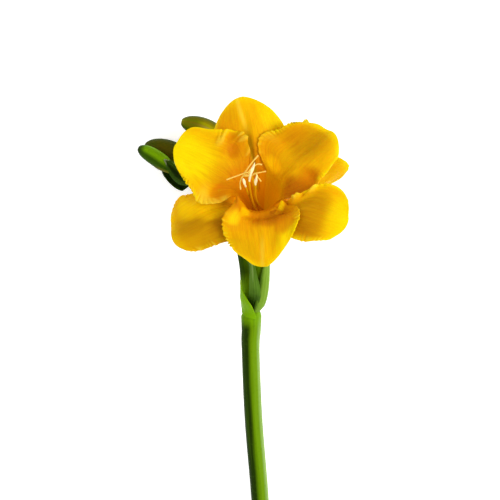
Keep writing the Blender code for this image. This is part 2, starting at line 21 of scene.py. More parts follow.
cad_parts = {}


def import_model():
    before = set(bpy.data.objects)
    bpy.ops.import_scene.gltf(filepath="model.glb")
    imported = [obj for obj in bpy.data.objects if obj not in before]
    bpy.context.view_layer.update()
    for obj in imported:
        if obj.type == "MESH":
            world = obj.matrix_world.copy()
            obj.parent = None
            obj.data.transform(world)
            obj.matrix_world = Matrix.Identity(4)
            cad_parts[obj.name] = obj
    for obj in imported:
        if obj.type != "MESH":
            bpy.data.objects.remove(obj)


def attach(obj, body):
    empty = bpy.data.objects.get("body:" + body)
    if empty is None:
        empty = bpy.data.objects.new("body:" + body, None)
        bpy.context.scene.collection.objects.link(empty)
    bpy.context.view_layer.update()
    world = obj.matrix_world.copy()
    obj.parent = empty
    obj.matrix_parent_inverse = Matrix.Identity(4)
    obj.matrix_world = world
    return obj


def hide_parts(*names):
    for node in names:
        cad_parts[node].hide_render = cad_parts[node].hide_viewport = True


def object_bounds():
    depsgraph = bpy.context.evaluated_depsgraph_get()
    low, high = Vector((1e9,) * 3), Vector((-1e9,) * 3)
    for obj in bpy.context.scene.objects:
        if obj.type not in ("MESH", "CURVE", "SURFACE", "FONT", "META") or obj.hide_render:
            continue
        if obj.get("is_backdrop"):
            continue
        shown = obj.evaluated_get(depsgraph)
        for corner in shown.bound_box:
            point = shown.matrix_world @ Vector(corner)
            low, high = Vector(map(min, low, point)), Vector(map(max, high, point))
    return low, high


MM = 0.001
UP = Vector((0.0, 0.0, 1.0))
BODY = "root"
IMAGE_UV = "UVMap"
RELIEF = "relief"

# Clearance between two pieces that touch on the plant.
GAP = 0.3

Triple = tuple[float, float, float]
Colour = tuple[float, float, float]
Ring = tuple[float, float]
Shape = Callable[[float, float], Vector]
Measure = Callable[[float, float], float]

log = logging.getLogger("freesia")


class Slot(Enum):
    """The record's material slots."""

    STEM = "stem_green"
    BRACT = "bract_green"
    OVARY = "ovary_green"
    TEPAL = "tepal_yellow"
    STAMEN = "stamen_cream"
    STYLE = "style_yellow"
    UPPER_BUD = "bud_yellow_green"
    LOWER_BUD = "bud_olive"
    END_BUD = "bud_green"


def smooth(share: float) -> float:
    """An even rise from 0 to 1 with level ends."""
    share = min(max(share, 0.0), 1.0)
    return share * share * (3.0 - 2.0 * share)


def mix(a: float, b: float, share: float) -> float:
    """The number that lies that share of the way from a to b."""
    return a + (b - a) * share


def stations(start: float, end: float, spacing: float) -> list[float]:
    """Evenly spaced distances from start to end, about so far apart and at least three."""
    count = max(2, round((end - start) / spacing))
    return [mix(start, end, i / count) for i in range(count + 1)]


def closed(rings: Sequence[Ring]) -> list[Ring]:
    """The rings of a tube with both ends closed."""
    return [(rings[0][0], 0.0), *rings, (rings[-1][0], 0.0)]


def placed(name: str, data: bpy.types.ID) -> bpy.types.Object:
    """Makes a mesh, a lamp or a camera an object of the scene.

    Args:
        name: The object's name.
        data: What it shows.

    Returns:
        The object.
    """
    made = bpy.data.objects.new(name, data)
    bpy.context.scene.collection.objects.link(made)
    return made


class Path:
    """A smooth line in space that is read by the distance along it."""

    KNOT_STEPS = 10
    BEZIER_STEPS = 60
    REACH = 0.5  # how far to both sides the direction is measured

    def __init__(self, points: Sequence[Vector]) -> None:
        """Measures the distance of every point along the line.

        Args:
            points: The points of the line, in order.
        """
        self.points = list(points)
        self.reached = [0.0]
        for a, b in zip(self.points, self.points[1:]):
            self.reached.append(self.reached[-1] + (b - a).length)
        self.length = self.reached[-1]

    @classmethod
    def bezier(cls, corners: Sequence[Triple]) -> Path:
        """A cubic curve.

        Args:
            corners: Its start, the point that it heads for, the one that it comes in from, and its end.

        Returns:
            The path along the curve.
        """
        ends = [Vector(corner) for corner in corners]
        points = []
        for i in range(cls.BEZIER_STEPS + 1):
            t = i / cls.BEZIER_STEPS
            weights = ((1 - t) ** 3, 3 * t * (1 - t) ** 2, 3 * t * t * (1 - t), t**3)
            points.append(sum((w * p for w, p in zip(weights, ends)), Vector((0, 0, 0))))
        return cls(points)

    @classmethod
    def through(cls, knots: Sequence[Triple | Vector]) -> Path:
        """A line through all knots, each span bending as its neighbours do.

        Args:
            knots: The points that the line passes.

        Returns:
            The path through them.
        """
        inner = [Vector(knot) for knot in knots]
        ends = [2 * inner[0] - inner[1], *inner, 2 * inner[-1] - inner[-2]]
        points = []
        for a, b, c, d in zip(ends, ends[1:], ends[2:], ends[3:]):
            for i in range(cls.KNOT_STEPS):
                t = i / cls.KNOT_STEPS
                cubic = (3 * b - a - 3 * c + d) * t**3
                square = (2 * a - 5 * b + 4 * c - d) * t * t
                points.append(0.5 * (cubic + square + (c - a) * t + 2 * b))
        return cls([*points, inner[-1]])

    def at(self, distance: float) -> Vector:
        """The point at that distance.

        Args:
            distance: How far along the line, held inside its ends.

        Returns:
            The point.
        """
        distance = min(max(distance, 0.0), self.length)
        i = min(bisect_right(self.reached, distance), len(self.points) - 1)
        span = self.reached[i] - self.reached[i - 1]
        return self.points[i - 1].lerp(self.points[i], (distance - self.reached[i - 1]) / span)

    def knot_at(self, number: int) -> float:
        """The distance of the knot with that number, on a line through knots."""
        return self.reached[self.KNOT_STEPS * number]

    def ahead(self, distance: float) -> Vector:
        """The direction of the line at that distance."""
        return (self.at(distance + self.REACH) - self.at(distance - self.REACH)).normalized()

    def round_about(self, distance: float, angle: float, radius: float) -> Vector:
        """A point beside the line.

        Args:
            distance: How far along the line.
            angle: The turn from straight up towards the right.
            radius: The distance from the line.

        Returns:
            The point.
        """
        ahead = self.ahead(distance)
        right = ahead.cross(UP).normalized()
        above = right.cross(ahead)
        turn = math.radians(angle)
        return self.at(distance) + radius * (math.cos(turn) * above + math.sin(turn) * right)


class Value:
    """A number that a material works out, with the operators that add its Math nodes."""

    def __init__(self, finish: Shading, socket: bpy.types.NodeSocket) -> None:
        """Wraps an output socket."""
        self.finish = finish
        self.socket = socket

    def __add__(self, other: Value | float) -> Value:
        """The sum."""
        return self.finish.math("ADD", self, other)

    __radd__ = __add__

    def __sub__(self, other: Value | float) -> Value:
        """The difference."""
        return self.finish.math("SUBTRACT", self, other)

    def __rsub__(self, other: float) -> Value:
        """The difference, with the number first."""
        return self.finish.math("SUBTRACT", other, self)

    def __mul__(self, other: Value | float) -> Value:
        """The product."""
        return self.finish.math("MULTIPLY", self, other)

    __rmul__ = __mul__

    def __abs__(self) -> Value:
        """The number without its sign."""
        return self.finish.math("ABSOLUTE", self)

    def between(self, low: float, high: float) -> Value:
        """The number that lies that share of the way from low to high."""
        return self * (high - low) + low

    def rise(self, low: float, high: float) -> Value:
        """A soft step from 0 at low to 1 at high, which may lie below low."""
        sockets = {"Value": self, "From Min": low, "From Max": high}
        return self.finish.node("ShaderNodeMapRange", {"interpolation_type": "SMOOTHSTEP"}, sockets)["Result"]


class Node:
    """A node whose outputs are read by name or number."""

    def __init__(self, finish: Shading, node: bpy.types.Node) -> None:
        """Wraps a node."""
        self.finish = finish
        self.node = node

    def __getitem__(self, output: str | int) -> Value:
        """The output with that name or number."""
        return Value(self.finish, self.node.outputs[output])


class Shading:
    """A material under construction."""

    MIX_FACTOR = 0
    MIX_A = 6
    MIX_B = 7
    MIX_RESULT = 2
    STREAK_DETAIL = 3.0
    GRAIN_DETAIL = 2.0

    def __init__(self, name: str) -> None:
        """Starts the material with no nodes.

        Args:
            name: The material's name.
        """
        self.material = bpy.data.materials.new(name)
        self.material.use_nodes = True
        self.tree = self.material.node_tree
        self.tree.nodes.clear()

    def node(self, kind: str, settings: dict | None = None, sockets: dict | None = None) -> Node:
        """Adds a node.

        Args:
            kind: The node's type.
            settings: Its settings, set before its sockets.
            sockets: A value or a link for each input, by name or number.

        Returns:
            The node.
        """
        made = self.tree.nodes.new(kind)
        for name, setting in (settings or {}).items():
            setattr(made, name, setting)
        for name, content in (sockets or {}).items():
            if isinstance(content, Value):
                self.tree.links.new(content.socket, made.inputs[name])
            else:
                made.inputs[name].default_value = content
        return Node(self, made)

    def math(self, operation: str, *numbers: Value | float) -> Value:
        """Adds a Math node on these numbers."""
        return self.node("ShaderNodeMath", {"operation": operation}, dict(enumerate(numbers)))[0]

    def blend(self, factor: Value | float, a: Value | Colour, b: Value | Colour, how: str = "MIX") -> Value:
        """Mixes two colours.

        Args:
            factor: How much of b is taken.
            a: The first colour.
            b: The second colour.
            how: The way in which they are mixed.

        Returns:
            The mixed colour.
        """
        settings = {"data_type": "RGBA", "blend_type": how}
        first, second = ((*c, 1.0) if isinstance(c, tuple) else c for c in (a, b))
        sockets = {self.MIX_FACTOR: factor, self.MIX_A: first, self.MIX_B: second}
        return self.node("ShaderNodeMix", settings, sockets)[self.MIX_RESULT]

    def layout(self) -> tuple[Value, Value]:
        """Reads the piece's own layout.

        Returns:
            How far across or round the skin a place lies, and how far along it.
        """
        place = self.node("ShaderNodeUVMap", {"uv_map": IMAGE_UV})["UV"]
        parts = self.node("ShaderNodeSeparateXYZ", None, {"Vector": place})
        return parts["X"], parts["Y"]

    def noise_at(self, place: Value, scale: float, detail: float) -> Value:
        """Noise around 0.5 at that place."""
        sockets = {"Vector": place, "Scale": scale, "Detail": detail}
        return self.node("ShaderNodeTexNoise", None, sockets)["Fac"]

    def streaks(self, x: Value, y: Value, z: Value | float = 0.0) -> Value:
        """Noise with blotches about 1 long in these three numbers, which can be drawn out along a skin."""
        place = self.node("ShaderNodeCombineXYZ", None, {"X": x, "Y": y, "Z": z})["Vector"]
        return self.noise_at(place, 1.0, self.STREAK_DETAIL)

    def round_streaks(self, turn: Value, along: Value, count: float, length: float) -> Value:
        """Noise with no seam: so many blotches round a skin, and so many in one unit along it."""
        x, y = (self.math(how, turn * math.tau) * (count / math.tau) for how in ("COSINE", "SINE"))
        return self.streaks(x, y, along * length)

    def grain(self, scale: float) -> Value:
        """Even noise with so many blotches to a metre."""
        return self.noise_at(self.node("ShaderNodeTexCoord")["Object"], scale, self.GRAIN_DETAIL)

    def patched(
        self, colour: Value, patches: Sequence[Patch], across: Value, along: Value, cloud: Value
    ) -> Value:
        """Lays patches over a colour.

        Args:
            colour: The colour so far.
            patches: The patches, in order.
            across: The place across the skin.
            along: The place along it.
            cloud: Noise that frays the patches' edges.

        Returns:
            The colour with the patches on it.
        """
        for patch in patches:
            aside = (across - patch.across) * (1.0 / patch.wide)
            ahead = (along - patch.along) * (1.0 / patch.long)
            inside = (aside * aside + ahead * ahead + (cloud - 0.5) * patch.FRAYED).rise(1.0, 0.0)
            colour = self.blend(inside * patch.strength, colour, patch.colour)
        return colour

    def relief(self) -> Value:
        """How far the skin stands out of its plain form there."""
        return self.node("ShaderNodeAttribute", {"attribute_name": RELIEF})["Fac"]

    def painted_glow(self, where: Value, colour: Colour) -> dict[str, Value | float]:
        """The shader's inputs for a painted glow: a weak light of that colour that stands in for daylight
        shining through.
        """
        return {"Emission Color": self.blend(where, (0.0, 0.0, 0.0), colour), "Emission Strength": 1.0}

    def close(
        self, colour: Value, height: Value, depth: float, roughness: Value | float, shine: float, more: dict
    ) -> bpy.types.Material:
        """Ends the material in a Principled shader.

        Args:
            colour: Its colour.
            height: The fine relief of its surface, from 0 to 1.
            depth: The depth of that relief in millimetres.
            roughness: Its roughness.
            shine: Its specular level.
            more: The shader's other inputs.

        Returns:
            The material.
        """
        bump = self.node("ShaderNodeBump", None, {"Height": height, "Distance": depth * MM, "Strength": 1.0})
        inputs = {"Base Color": colour, "Normal": bump["Normal"], "Roughness": roughness}
        shader = self.node("ShaderNodeBsdfPrincipled", None, {**inputs, "Specular IOR Level": shine, **more})
        self.node("ShaderNodeOutputMaterial", None, {"Surface": shader["BSDF"]})
        return self.material


def flesh(weight: float, radius: Triple, scale: float) -> dict[str, float | Triple]:
    """The shader's inputs for light that goes through a skin, with its scale in millimetres."""
    return {"Subsurface Weight": weight, "Subsurface Radius": radius, "Subsurface Scale": scale * MM}


LEMON: Colour = (0.77, 0.6, 0.0)
GOLD: Colour = (0.69, 0.36, 0.0)
AMBER: Colour = (0.6, 0.2, 0.0)
# Deep orange-brown of painted shade in folds and near the roots.
SHADED_ORANGE: Colour = (0.43, 0.13, 0.0)
# Deep orange of the throat, darkened further as painted shade deep inside the tube.
THROAT_ORANGE_AND_SHADE: Colour = (0.46, 0.12, 0.0)
# Olive of painted shade in the groove along a midrib.
SHADED_OLIVE: Colour = (0.36, 0.19, 0.0)

# The specular level of petals and stems, and how far red, green and blue light goes in a leaf.
DULL = 0.03
LEAF_FLESH: Triple = (0.5, 1.0, 0.1)


@dataclass(frozen=True)
class Patch:
    """A soft-edged patch of another colour on a skin: its place, its reach and its strength."""

    FRAYED = 0.7  # how far the noise moves its edge

    across: float
    along: float
    wide: float
    long: float
    colour: Colour
    strength: float = 0.7


@dataclass(frozen=True)
class PetalFinish:
    """A golden petal with fine veins: orange at its root, lemon at its margins, painted shade in its folds.
    """

    FINE = (80.0, 3.0)  # blotches across and along it
    BROAD = (18.0, 2.0)
    CLOUDS = 100.0  # to a metre
    RELIEF_DEPTH = 0.3

    # The pale outer midrib, and the painted highlights on the crests of frills and folds.
    pale_and_highlight: Colour = (0.78, 0.58, 0.04)
    # Lemon margins, partly painted light where the thin margins let light through.
    rim: float = 0.8  # how lemon the margins are
    rim_width: float = 0.2
    root: Colour = AMBER
    amber_to: float = 0.4  # how far the root's colour reaches up
    # Painted glow: emission at the root that stands in for daylight shining through the petal.
    painted_glow: Colour = (0.15, 0.045, 0.0)  # daylight that shines through the root from outside
    stripe: float = 0.0  # how pale the outer part of the midrib is
    # Painted shade, olive, in the groove along the inner part of the midrib.
    groove: float = 0.0  # how olive the inner part of the midrib is
    sway: float = 0.0  # how far the stripe leans across towards the tip
    veins: float = 0.35
    patches: tuple[Patch, ...] = ()

    def material(self, name: str) -> bpy.types.Material:
        """Makes the petal's material.

        Args:
            name: The material's name.

        Returns:
            The material.
        """
        made = Shading(name)
        across, along = made.layout()
        u = across * 2.0 - 1.0
        off = abs(u)
        relief = made.relief()
        fine, broad = (made.streaks(across * x, along * y) for x, y in (self.FINE, self.BROAD))
        cloud = made.grain(self.CLOUDS)
        wander = (cloud - 0.5) * 0.3
        colour = made.blend(broad.rise(0.3, 0.7) * 0.25, GOLD, LEMON)
        rooted = (along + wander - off * 0.05).rise(self.amber_to, 0.02)
        colour = made.blend(rooted * 0.85, colour, self.root)
        colour = made.patched(colour, self.patches, u, along, cloud)
        # Deep orange where the root runs down into the tube, partly painted shade.
        deep = (along + wander * 0.3).rise(0.1, -0.2)
        colour = made.blend(deep, colour, THROAT_ORANGE_AND_SHADE)
        vein = fine.rise(0.42, 0.66) * 0.6 + broad.rise(0.4, 0.7) * 0.4
        colour = made.blend(vein * self.veins * along.rise(1.1, 0.5), colour, AMBER, "MULTIPLY")
        # Lemon along the margins and the tip, partly painted light.
        side = (off + wander * 0.2).rise(1.0 - self.rim_width, 1.02) * along.rise(0.15, 0.5)
        end = (along + wander * 0.2).rise(1.0 - 0.7 * self.rim_width, 1.01)
        colour = made.blend((side + end * (1.0 - side)) * self.rim, colour, LEMON)
        # Painted shade in the hollows of frills and folds, and painted highlights on their crests.
        colour = made.blend(relief.rise(0.0, -0.9) * 0.6, colour, AMBER)
        colour = made.blend(relief.rise(0.1, 1.0) * 0.4, colour, self.pale_and_highlight)
        aside = abs(u - along.rise(0.3, 1.3) * self.sway) + wander * 0.1
        colour = made.blend(aside.rise(0.1, 0.0) * along.rise(0.45, 0.75) * self.stripe, colour, self.pale_and_highlight)
        # Painted shade in the groove along the inner part of the midrib.
        colour = made.blend(aside.rise(0.16, 0.0) * along.rise(0.7, 0.4) * self.groove, colour, SHADED_OLIVE)
        height = fine * 0.5 + broad * 0.5
        # A painted glow where the root runs down into the throat.
        more = flesh(0.25, (1.0, 0.45, 0.05), 1.0) | made.painted_glow(deep, self.painted_glow)
        return made.close(colour, height, self.RELIEF_DEPTH, broad.between(0.45, 0.6), DULL, more)


@dataclass(frozen=True)
class FunnelFinish:
    """The tube of a bloom: golden outside with a green foot, and a deep orange throat with painted shade and
    a painted glow.
    """

    CLOUDS = 120.0
    STREAKS = (30.0, 0.8)  # round it, and to a centimetre along it
    RELIEF_DEPTH = 0.1

    # A green foot, carried up past the gap between the bracts so that it also stands for painted shade there.
    foot: Colour = (0.09, 0.2, 0.0)
    foot_to: float = 3.1  # in centimetres along the spine, like the next one
    throat_from: float = 3.2
    # Painted glow in the throat.
    painted_glow: Colour = (0.16, 0.05, 0.0)

    def material(self, name: str) -> bpy.types.Material:
        """Makes the tube's material.

        Args:
            name: The material's name.

        Returns:
            The material.
        """
        made = Shading(name)
        turn, along = made.layout()
        inside = made.relief().rise(-0.4, -0.6)
        streaks = made.round_streaks(turn, along, *self.STREAKS)
        cloud = made.grain(self.CLOUDS)
        outer = made.blend(streaks.rise(0.35, 0.7), GOLD, AMBER)
        # The green foot, which also darkens the tube as painted shade in the gap between the bracts.
        low = (along + (cloud - 0.5) * 0.5).rise(self.foot_to, self.foot_to - 0.9)
        outer = made.blend(low, outer, self.foot)
        # Inside: deep orange with painted shade deep in the throat, turning amber towards the mouth.
        inner = made.blend(along.rise(self.throat_from, self.throat_from + 1.0), THROAT_ORANGE_AND_SHADE, AMBER)
        inner = made.blend(streaks.rise(0.4, 0.7) * 0.4, inner, THROAT_ORANGE_AND_SHADE)
        colour = made.blend(inside, outer, inner)
        # A painted glow on the inside of the tube.
        more = made.painted_glow(inside, self.painted_glow)
        return made.close(colour, streaks, self.RELIEF_DEPTH, cloud.between(0.5, 0.65), DULL, more)


@dataclass(frozen=True)
class GreenFinish:
    """A smooth waxy green skin with lengthways streaks, painted shade on its left and a painted band on its
    right, lit on the stem and ovaries and shaded on the buds.
    """

    CLOUDS = 160.0
    SPECKS = 1100.0
    STREAKS = (30.0, 0.5)
    RELIEF_DEPTH = 0.08

    body: Colour = (0.09, 0.175, 0.0)
    # Painted shade down the left side, and a painted band down the right side: painted light and highlight by
    # default, painted shade where a bud sets it darker.
    shaded_left: Colour = (0.012, 0.03, 0.0)
    right: Colour = (0.22, 0.35, 0.08)
    shaded_left_from: float = 0.0  # on a scale from -1, its left edge from above, to 1
    shaded_left_to: float = -0.6
    right_from: float = 0.5
    right_to: float = 0.9
    streak: Colour = (0.05, 0.12, 0.0)
    streaky: float = 0.35
    patches: tuple[Patch, ...] = ()

    def material(self, name: str) -> bpy.types.Material:
        """Makes the green skin's material.

        Args:
            name: The material's name.

        Returns:
            The material.
        """
        made = Shading(name)
        turn, along = made.layout()
        streaks = made.round_streaks(turn, along, *self.STREAKS)
        cloud = made.grain(self.CLOUDS)
        across = made.math("SINE", turn * math.tau) + (streaks - 0.5) * 0.4
        # Painted shade on the left side and the painted band on the right side.
        colour = made.blend(across.rise(self.shaded_left_from, self.shaded_left_to), self.body, self.shaded_left)
        colour = made.blend(across.rise(self.right_from, self.right_to), colour, self.right)
        colour = made.patched(colour, self.patches, turn, along, cloud)
        colour = made.blend(streaks.rise(0.45, 0.7) * self.streaky, colour, self.streak)
        colour = made.blend(made.grain(self.SPECKS).rise(0.55, 0.75) * 0.3, colour, self.streak)
        more = flesh(0.08, LEAF_FLESH, 0.8)
        return made.close(colour, streaks, self.RELIEF_DEPTH, cloud.between(0.3, 0.5), DULL, more)


@dataclass(frozen=True)
class BractFinish:
    """A thin green leaf with lengthways veins and a pale, papery tip."""

    CLOUDS = 220.0
    VEINS = (16.0, 0.8)
    LIT = 0.5  # how much of its light colour shows
    SHINE = 0.04
    RELIEF_DEPTH = 0.08

    body: Colour = (0.05, 0.12, 0.005)
    light: Colour = (0.11, 0.22, 0.02)
    paper: Colour = (0.45, 0.5, 0.3)
    paper_from: float = 0.85
    patches: tuple[Patch, ...] = ()

    def material(self, name: str) -> bpy.types.Material:
        """Makes the bract's material.

        Args:
            name: The material's name.

        Returns:
            The material.
        """
        made = Shading(name)
        across, along = made.layout()
        veins = made.streaks(across * self.VEINS[0], along * self.VEINS[1])
        cloud = made.grain(self.CLOUDS)
        colour = made.blend((veins.rise(0.35, 0.65) + cloud - 0.5) * self.LIT, self.body, self.light)
        colour = made.patched(colour, self.patches, across * 2.0 - 1.0, along, cloud)
        papery = (along + (cloud - 0.5) * 0.2).rise(self.paper_from, self.paper_from + 0.15)
        colour = made.blend(papery * 0.7, colour, self.paper)
        more = flesh(0.08, LEAF_FLESH, 0.6)
        return made.close(colour, veins, self.RELIEF_DEPTH, cloud.between(0.38, 0.55), self.SHINE, more)


@dataclass(frozen=True)
class PollenFinish:
    """A matt, slightly grainy skin for anthers, filaments and style, pale where the skin is marked."""

    GRAINS = 2600.0
    SHINE = 0.05
    RELIEF_DEPTH = 0.08

    plain: Colour = (0.66, 0.33, 0.0)
    grainy: Colour = (0.86, 0.74, 0.42)

    def material(self, name: str) -> bpy.types.Material:
        """Makes the grainy material.

        Args:
            name: The material's name.

        Returns:
            The material.
        """
        made = Shading(name)
        dust = made.grain(self.GRAINS)
        colour = made.blend(made.relief().rise(0.3, 0.7), self.plain, self.grainy)
        colour = made.blend(dust.rise(0.6, 0.3) * 0.25, colour, self.plain)
        more = flesh(0.2, (1.0, 0.6, 0.1), 0.5)
        return made.close(colour, dust, self.RELIEF_DEPTH, dust.between(0.55, 0.8), self.SHINE, more)


@dataclass(frozen=True)
class FloorFinish:
    """Matt white paper on a table that is lit a little from below."""

    FIBRES = 900.0
    ROUGHNESS = 0.9
    SHINE = 0.1
    RELIEF_DEPTH = 0.02

    light: Colour = (0.95, 0.95, 0.95)
    dark: Colour = (0.92, 0.92, 0.92)
    lit: float = 0.42

    def material(self, name: str) -> bpy.types.Material:
        """Makes the floor's material.

        Args:
            name: The material's name.

        Returns:
            The material.
        """
        made = Shading(name)
        fibres = made.grain(self.FIBRES)
        colour = made.blend(fibres, self.dark, self.light)
        more = {"Emission Color": (1.0, 1.0, 1.0, 1.0), "Emission Strength": self.lit}
        return made.close(colour, fibres, self.RELIEF_DEPTH, self.ROUGHNESS, self.SHINE, more)


Finish = PetalFinish | FunnelFinish | GreenFinish | BractFinish | PollenFinish


class Skin:
    """A piece under construction: blades and tubes laid down as grids, each with its own UVs."""

    MERGE = 1e-7
    SHARP = math.radians(60)
    LAYOUT_UNIT = 10.0  # a tube's layout counts centimetres along it

    def __init__(self, name: str) -> None:
        """Starts an empty piece.

        Args:
            name: The piece's name.
        """
        self.name = name
        self.mesh = bmesh.new()
        self.uv = self.mesh.loops.layers.uv.new(IMAGE_UV)
        self.relief = self.mesh.verts.layers.float.new(RELIEF)

    def grid(self, columns: int, rows: int) -> list[bmesh.types.BMVert]:
        """Lays down a flat grid from (0, 0) to (1, 1).

        Args:
            columns: Faces across.
            rows: Faces along.

        Returns:
            Its vertices.
        """
        made = bmesh.ops.create_grid(self.mesh, x_segments=columns, y_segments=rows, size=0.5)["verts"]
        bmesh.ops.translate(self.mesh, verts=made, vec=(0.5, 0.5, 0.0))
        return made

    def lay_out(self, vert: bmesh.types.BMVert, place: tuple[float, float]) -> None:
        """Writes a vertex's place on the skin in the UVs round it."""
        for loop in vert.link_loops:
            loop[self.uv].uv = place

    def blade(
        self, shape: Shape, columns: int, rows: int, start: float = 0.0, relief: Measure | None = None
    ) -> Skin:
        """Adds a blade.

        Args:
            shape: Gives the point for u from -1 to 1 and v from start to 1.
            columns: Faces across.
            rows: Faces along.
            start: The least v.
            relief: How far the blade stands out of its plain form there.

        Returns:
            This piece.
        """
        for vert in self.grid(columns, rows):
            across = round(vert.co.x, 6)
            u, v = 2 * across - 1, mix(start, 1.0, round(vert.co.y, 6))
            self.lay_out(vert, (across, v))
            vert[self.relief] = relief(u, v) if relief else 0.0
            vert.co = shape(u, v) * MM
        return self

    def tube(
        self,
        path: Path,
        rings: Sequence[Ring],
        sides: int,
        section: Measure | None = None,
        marks: Sequence[float] | None = None,
    ) -> Skin:
        """Adds a round skin. Rings with no radius close its ends, and equal end rings make it a loop.

        Args:
            path: The line that it follows.
            rings: Distances along the path, each with the skin's radius.
            sides: Faces round it.
            section: What the radius is multiplied by, from the share of a turn and the distance.
            marks: A number for each ring that the finish reads in place of the relief.

        Returns:
            This piece.
        """
        verts = self.grid(sides, len(rings) - 1)
        for vert in verts:
            turn = round(vert.co.x, 6) - 0.5
            number = round(vert.co.y * (len(rings) - 1))
            distance, radius = rings[number]
            self.lay_out(vert, (turn, distance / self.LAYOUT_UNIT))
            factor = section(turn % 1.0, distance) if section else 1.0
            vert[self.relief] = marks[number] if marks else factor - 1.0
            vert.co = path.round_about(distance, 360.0 * turn, radius * factor) * MM
            vert.co.z = max(vert.co.z, 0.0)
        bmesh.ops.remove_doubles(self.mesh, verts=verts, dist=self.MERGE)
        faces = {face for vert in verts if vert.is_valid for face in vert.link_faces}
        bmesh.ops.recalc_face_normals(self.mesh, faces=list(faces))
        return self

    def finish(self, finish: Finish, slot: Slot, node: str = "", wall: float = 0.0) -> None:
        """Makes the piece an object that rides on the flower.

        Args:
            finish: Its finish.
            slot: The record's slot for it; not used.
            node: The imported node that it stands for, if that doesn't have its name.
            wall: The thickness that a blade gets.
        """
        mesh = bpy.data.meshes.new(self.name)
        self.mesh.to_mesh(mesh)
        self.mesh.free()
        mesh.shade_smooth()
        mesh.set_sharp_from_angle(angle=self.SHARP)
        mesh.materials.append(finish.material(f"{self.name}_skin"))
        piece = placed(self.name, mesh)
        if wall:
            solid = piece.modifiers.new("Wall", "SOLIDIFY")
            solid.thickness = wall * MM
            solid.offset = 0.0
        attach(piece, BODY)
        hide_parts(node or self.name)
        log.info("%s: %d faces in place of %s", self.name, len(mesh.polygons), node or self.name)


@dataclass
class Stem:
    """The stem with its zigzag tip: x, y, z and radius at each knot."""

    STALK_SIDES = 24
    STALK_SPACING = 0.5
    SETTLED = 0.05  # how far outside the stem a settled point stays
    RIDGE_WANDER = 0.6

    knots: tuple[tuple[float, float, float, float], ...]
    sides: int = 48
    spacing: float = 0.8
    ridges: int = 11
    ridge_height: float = 0.007
    bevel: float = 0.25
    skin: GreenFinish = GreenFinish()
    path: Path = field(init=False)
    knots_at: list[float] = field(init=False)

    def __post_init__(self) -> None:
        """Works out the centre line and the distances of its knots."""
        self.path = Path.through([knot[:3] for knot in self.knots])
        self.knots_at = [self.path.knot_at(i) for i in range(len(self.knots))]

    def radius(self, distance: float) -> float:
        """The stem's radius.

        Args:
            distance: How far along the stem.

        Returns:
            The radius there.
        """
        i = min(max(bisect_right(self.knots_at, distance), 1), len(self.knots) - 1)
        share = (distance - self.knots_at[i - 1]) / (self.knots_at[i] - self.knots_at[i - 1])
        return mix(self.knots[i - 1][3], self.knots[i][3], share)

    def clearance(self, point: Vector) -> float:
        """How far the point lies outside the stem's surface."""
        line = zip(self.path.points, self.path.reached)
        return min((point - p).length - self.radius(s) for p, s in line)

    def settle(self, point: Vector, share: float) -> Vector:
        """Draws a point outside the stem towards its surface.

        Args:
            point: The point.
            share: How much of its clearance is kept.

        Returns:
            The point, nearer to the stem.
        """
        line = zip(self.path.points, self.path.reached)
        gaps = (((point - p).length - self.radius(s), p) for p, s in line)
        clear, middle = min(gaps, key=lambda pair: pair[0])
        away = point - middle
        return point - away.normalized() * max(0.0, clear - self.SETTLED) * (1.0 - share)

    def ridged(self, turn: float, distance: float) -> float:
        """What the radius is multiplied by for faint lengthways ridges, at that share of a turn."""
        wander = noise.noise(Vector((turn * 3.0, distance * 0.05, 0.0))) * self.RIDGE_WANDER
        return 1.0 + self.ridge_height * math.sin(math.tau * (self.ridges * turn + wander))

    def build(self, flowers: Sequence[Flower]) -> None:
        """Makes the stem with a short stalk for each flower.

        Args:
            flowers: The flowers that grow on it.
        """
        foot, tip = self.radius(0.0), self.radius(self.path.length)
        rings = [(0.0, 0.0), (0.0, 0.5 * foot), (0.0, foot - self.bevel)]
        rings += [(s, self.radius(s)) for s in stations(self.bevel, self.path.length, self.spacing)]
        rings.append((self.path.length, 0.0))
        skin = Skin("stem").tube(self.path, rings, self.sides, self.ridged)
        for flower in flowers:
            stalk = [(s, flower.STALK_RADIUS) for s in stations(0.0, flower.foot, self.STALK_SPACING)]
            skin.tube(flower.spine, closed(stalk), self.STALK_SIDES)
        log.info("stem: radius %.2f at its foot and %.2f at its tip", foot, tip)
        skin.finish(self.skin, Slot.STEM)


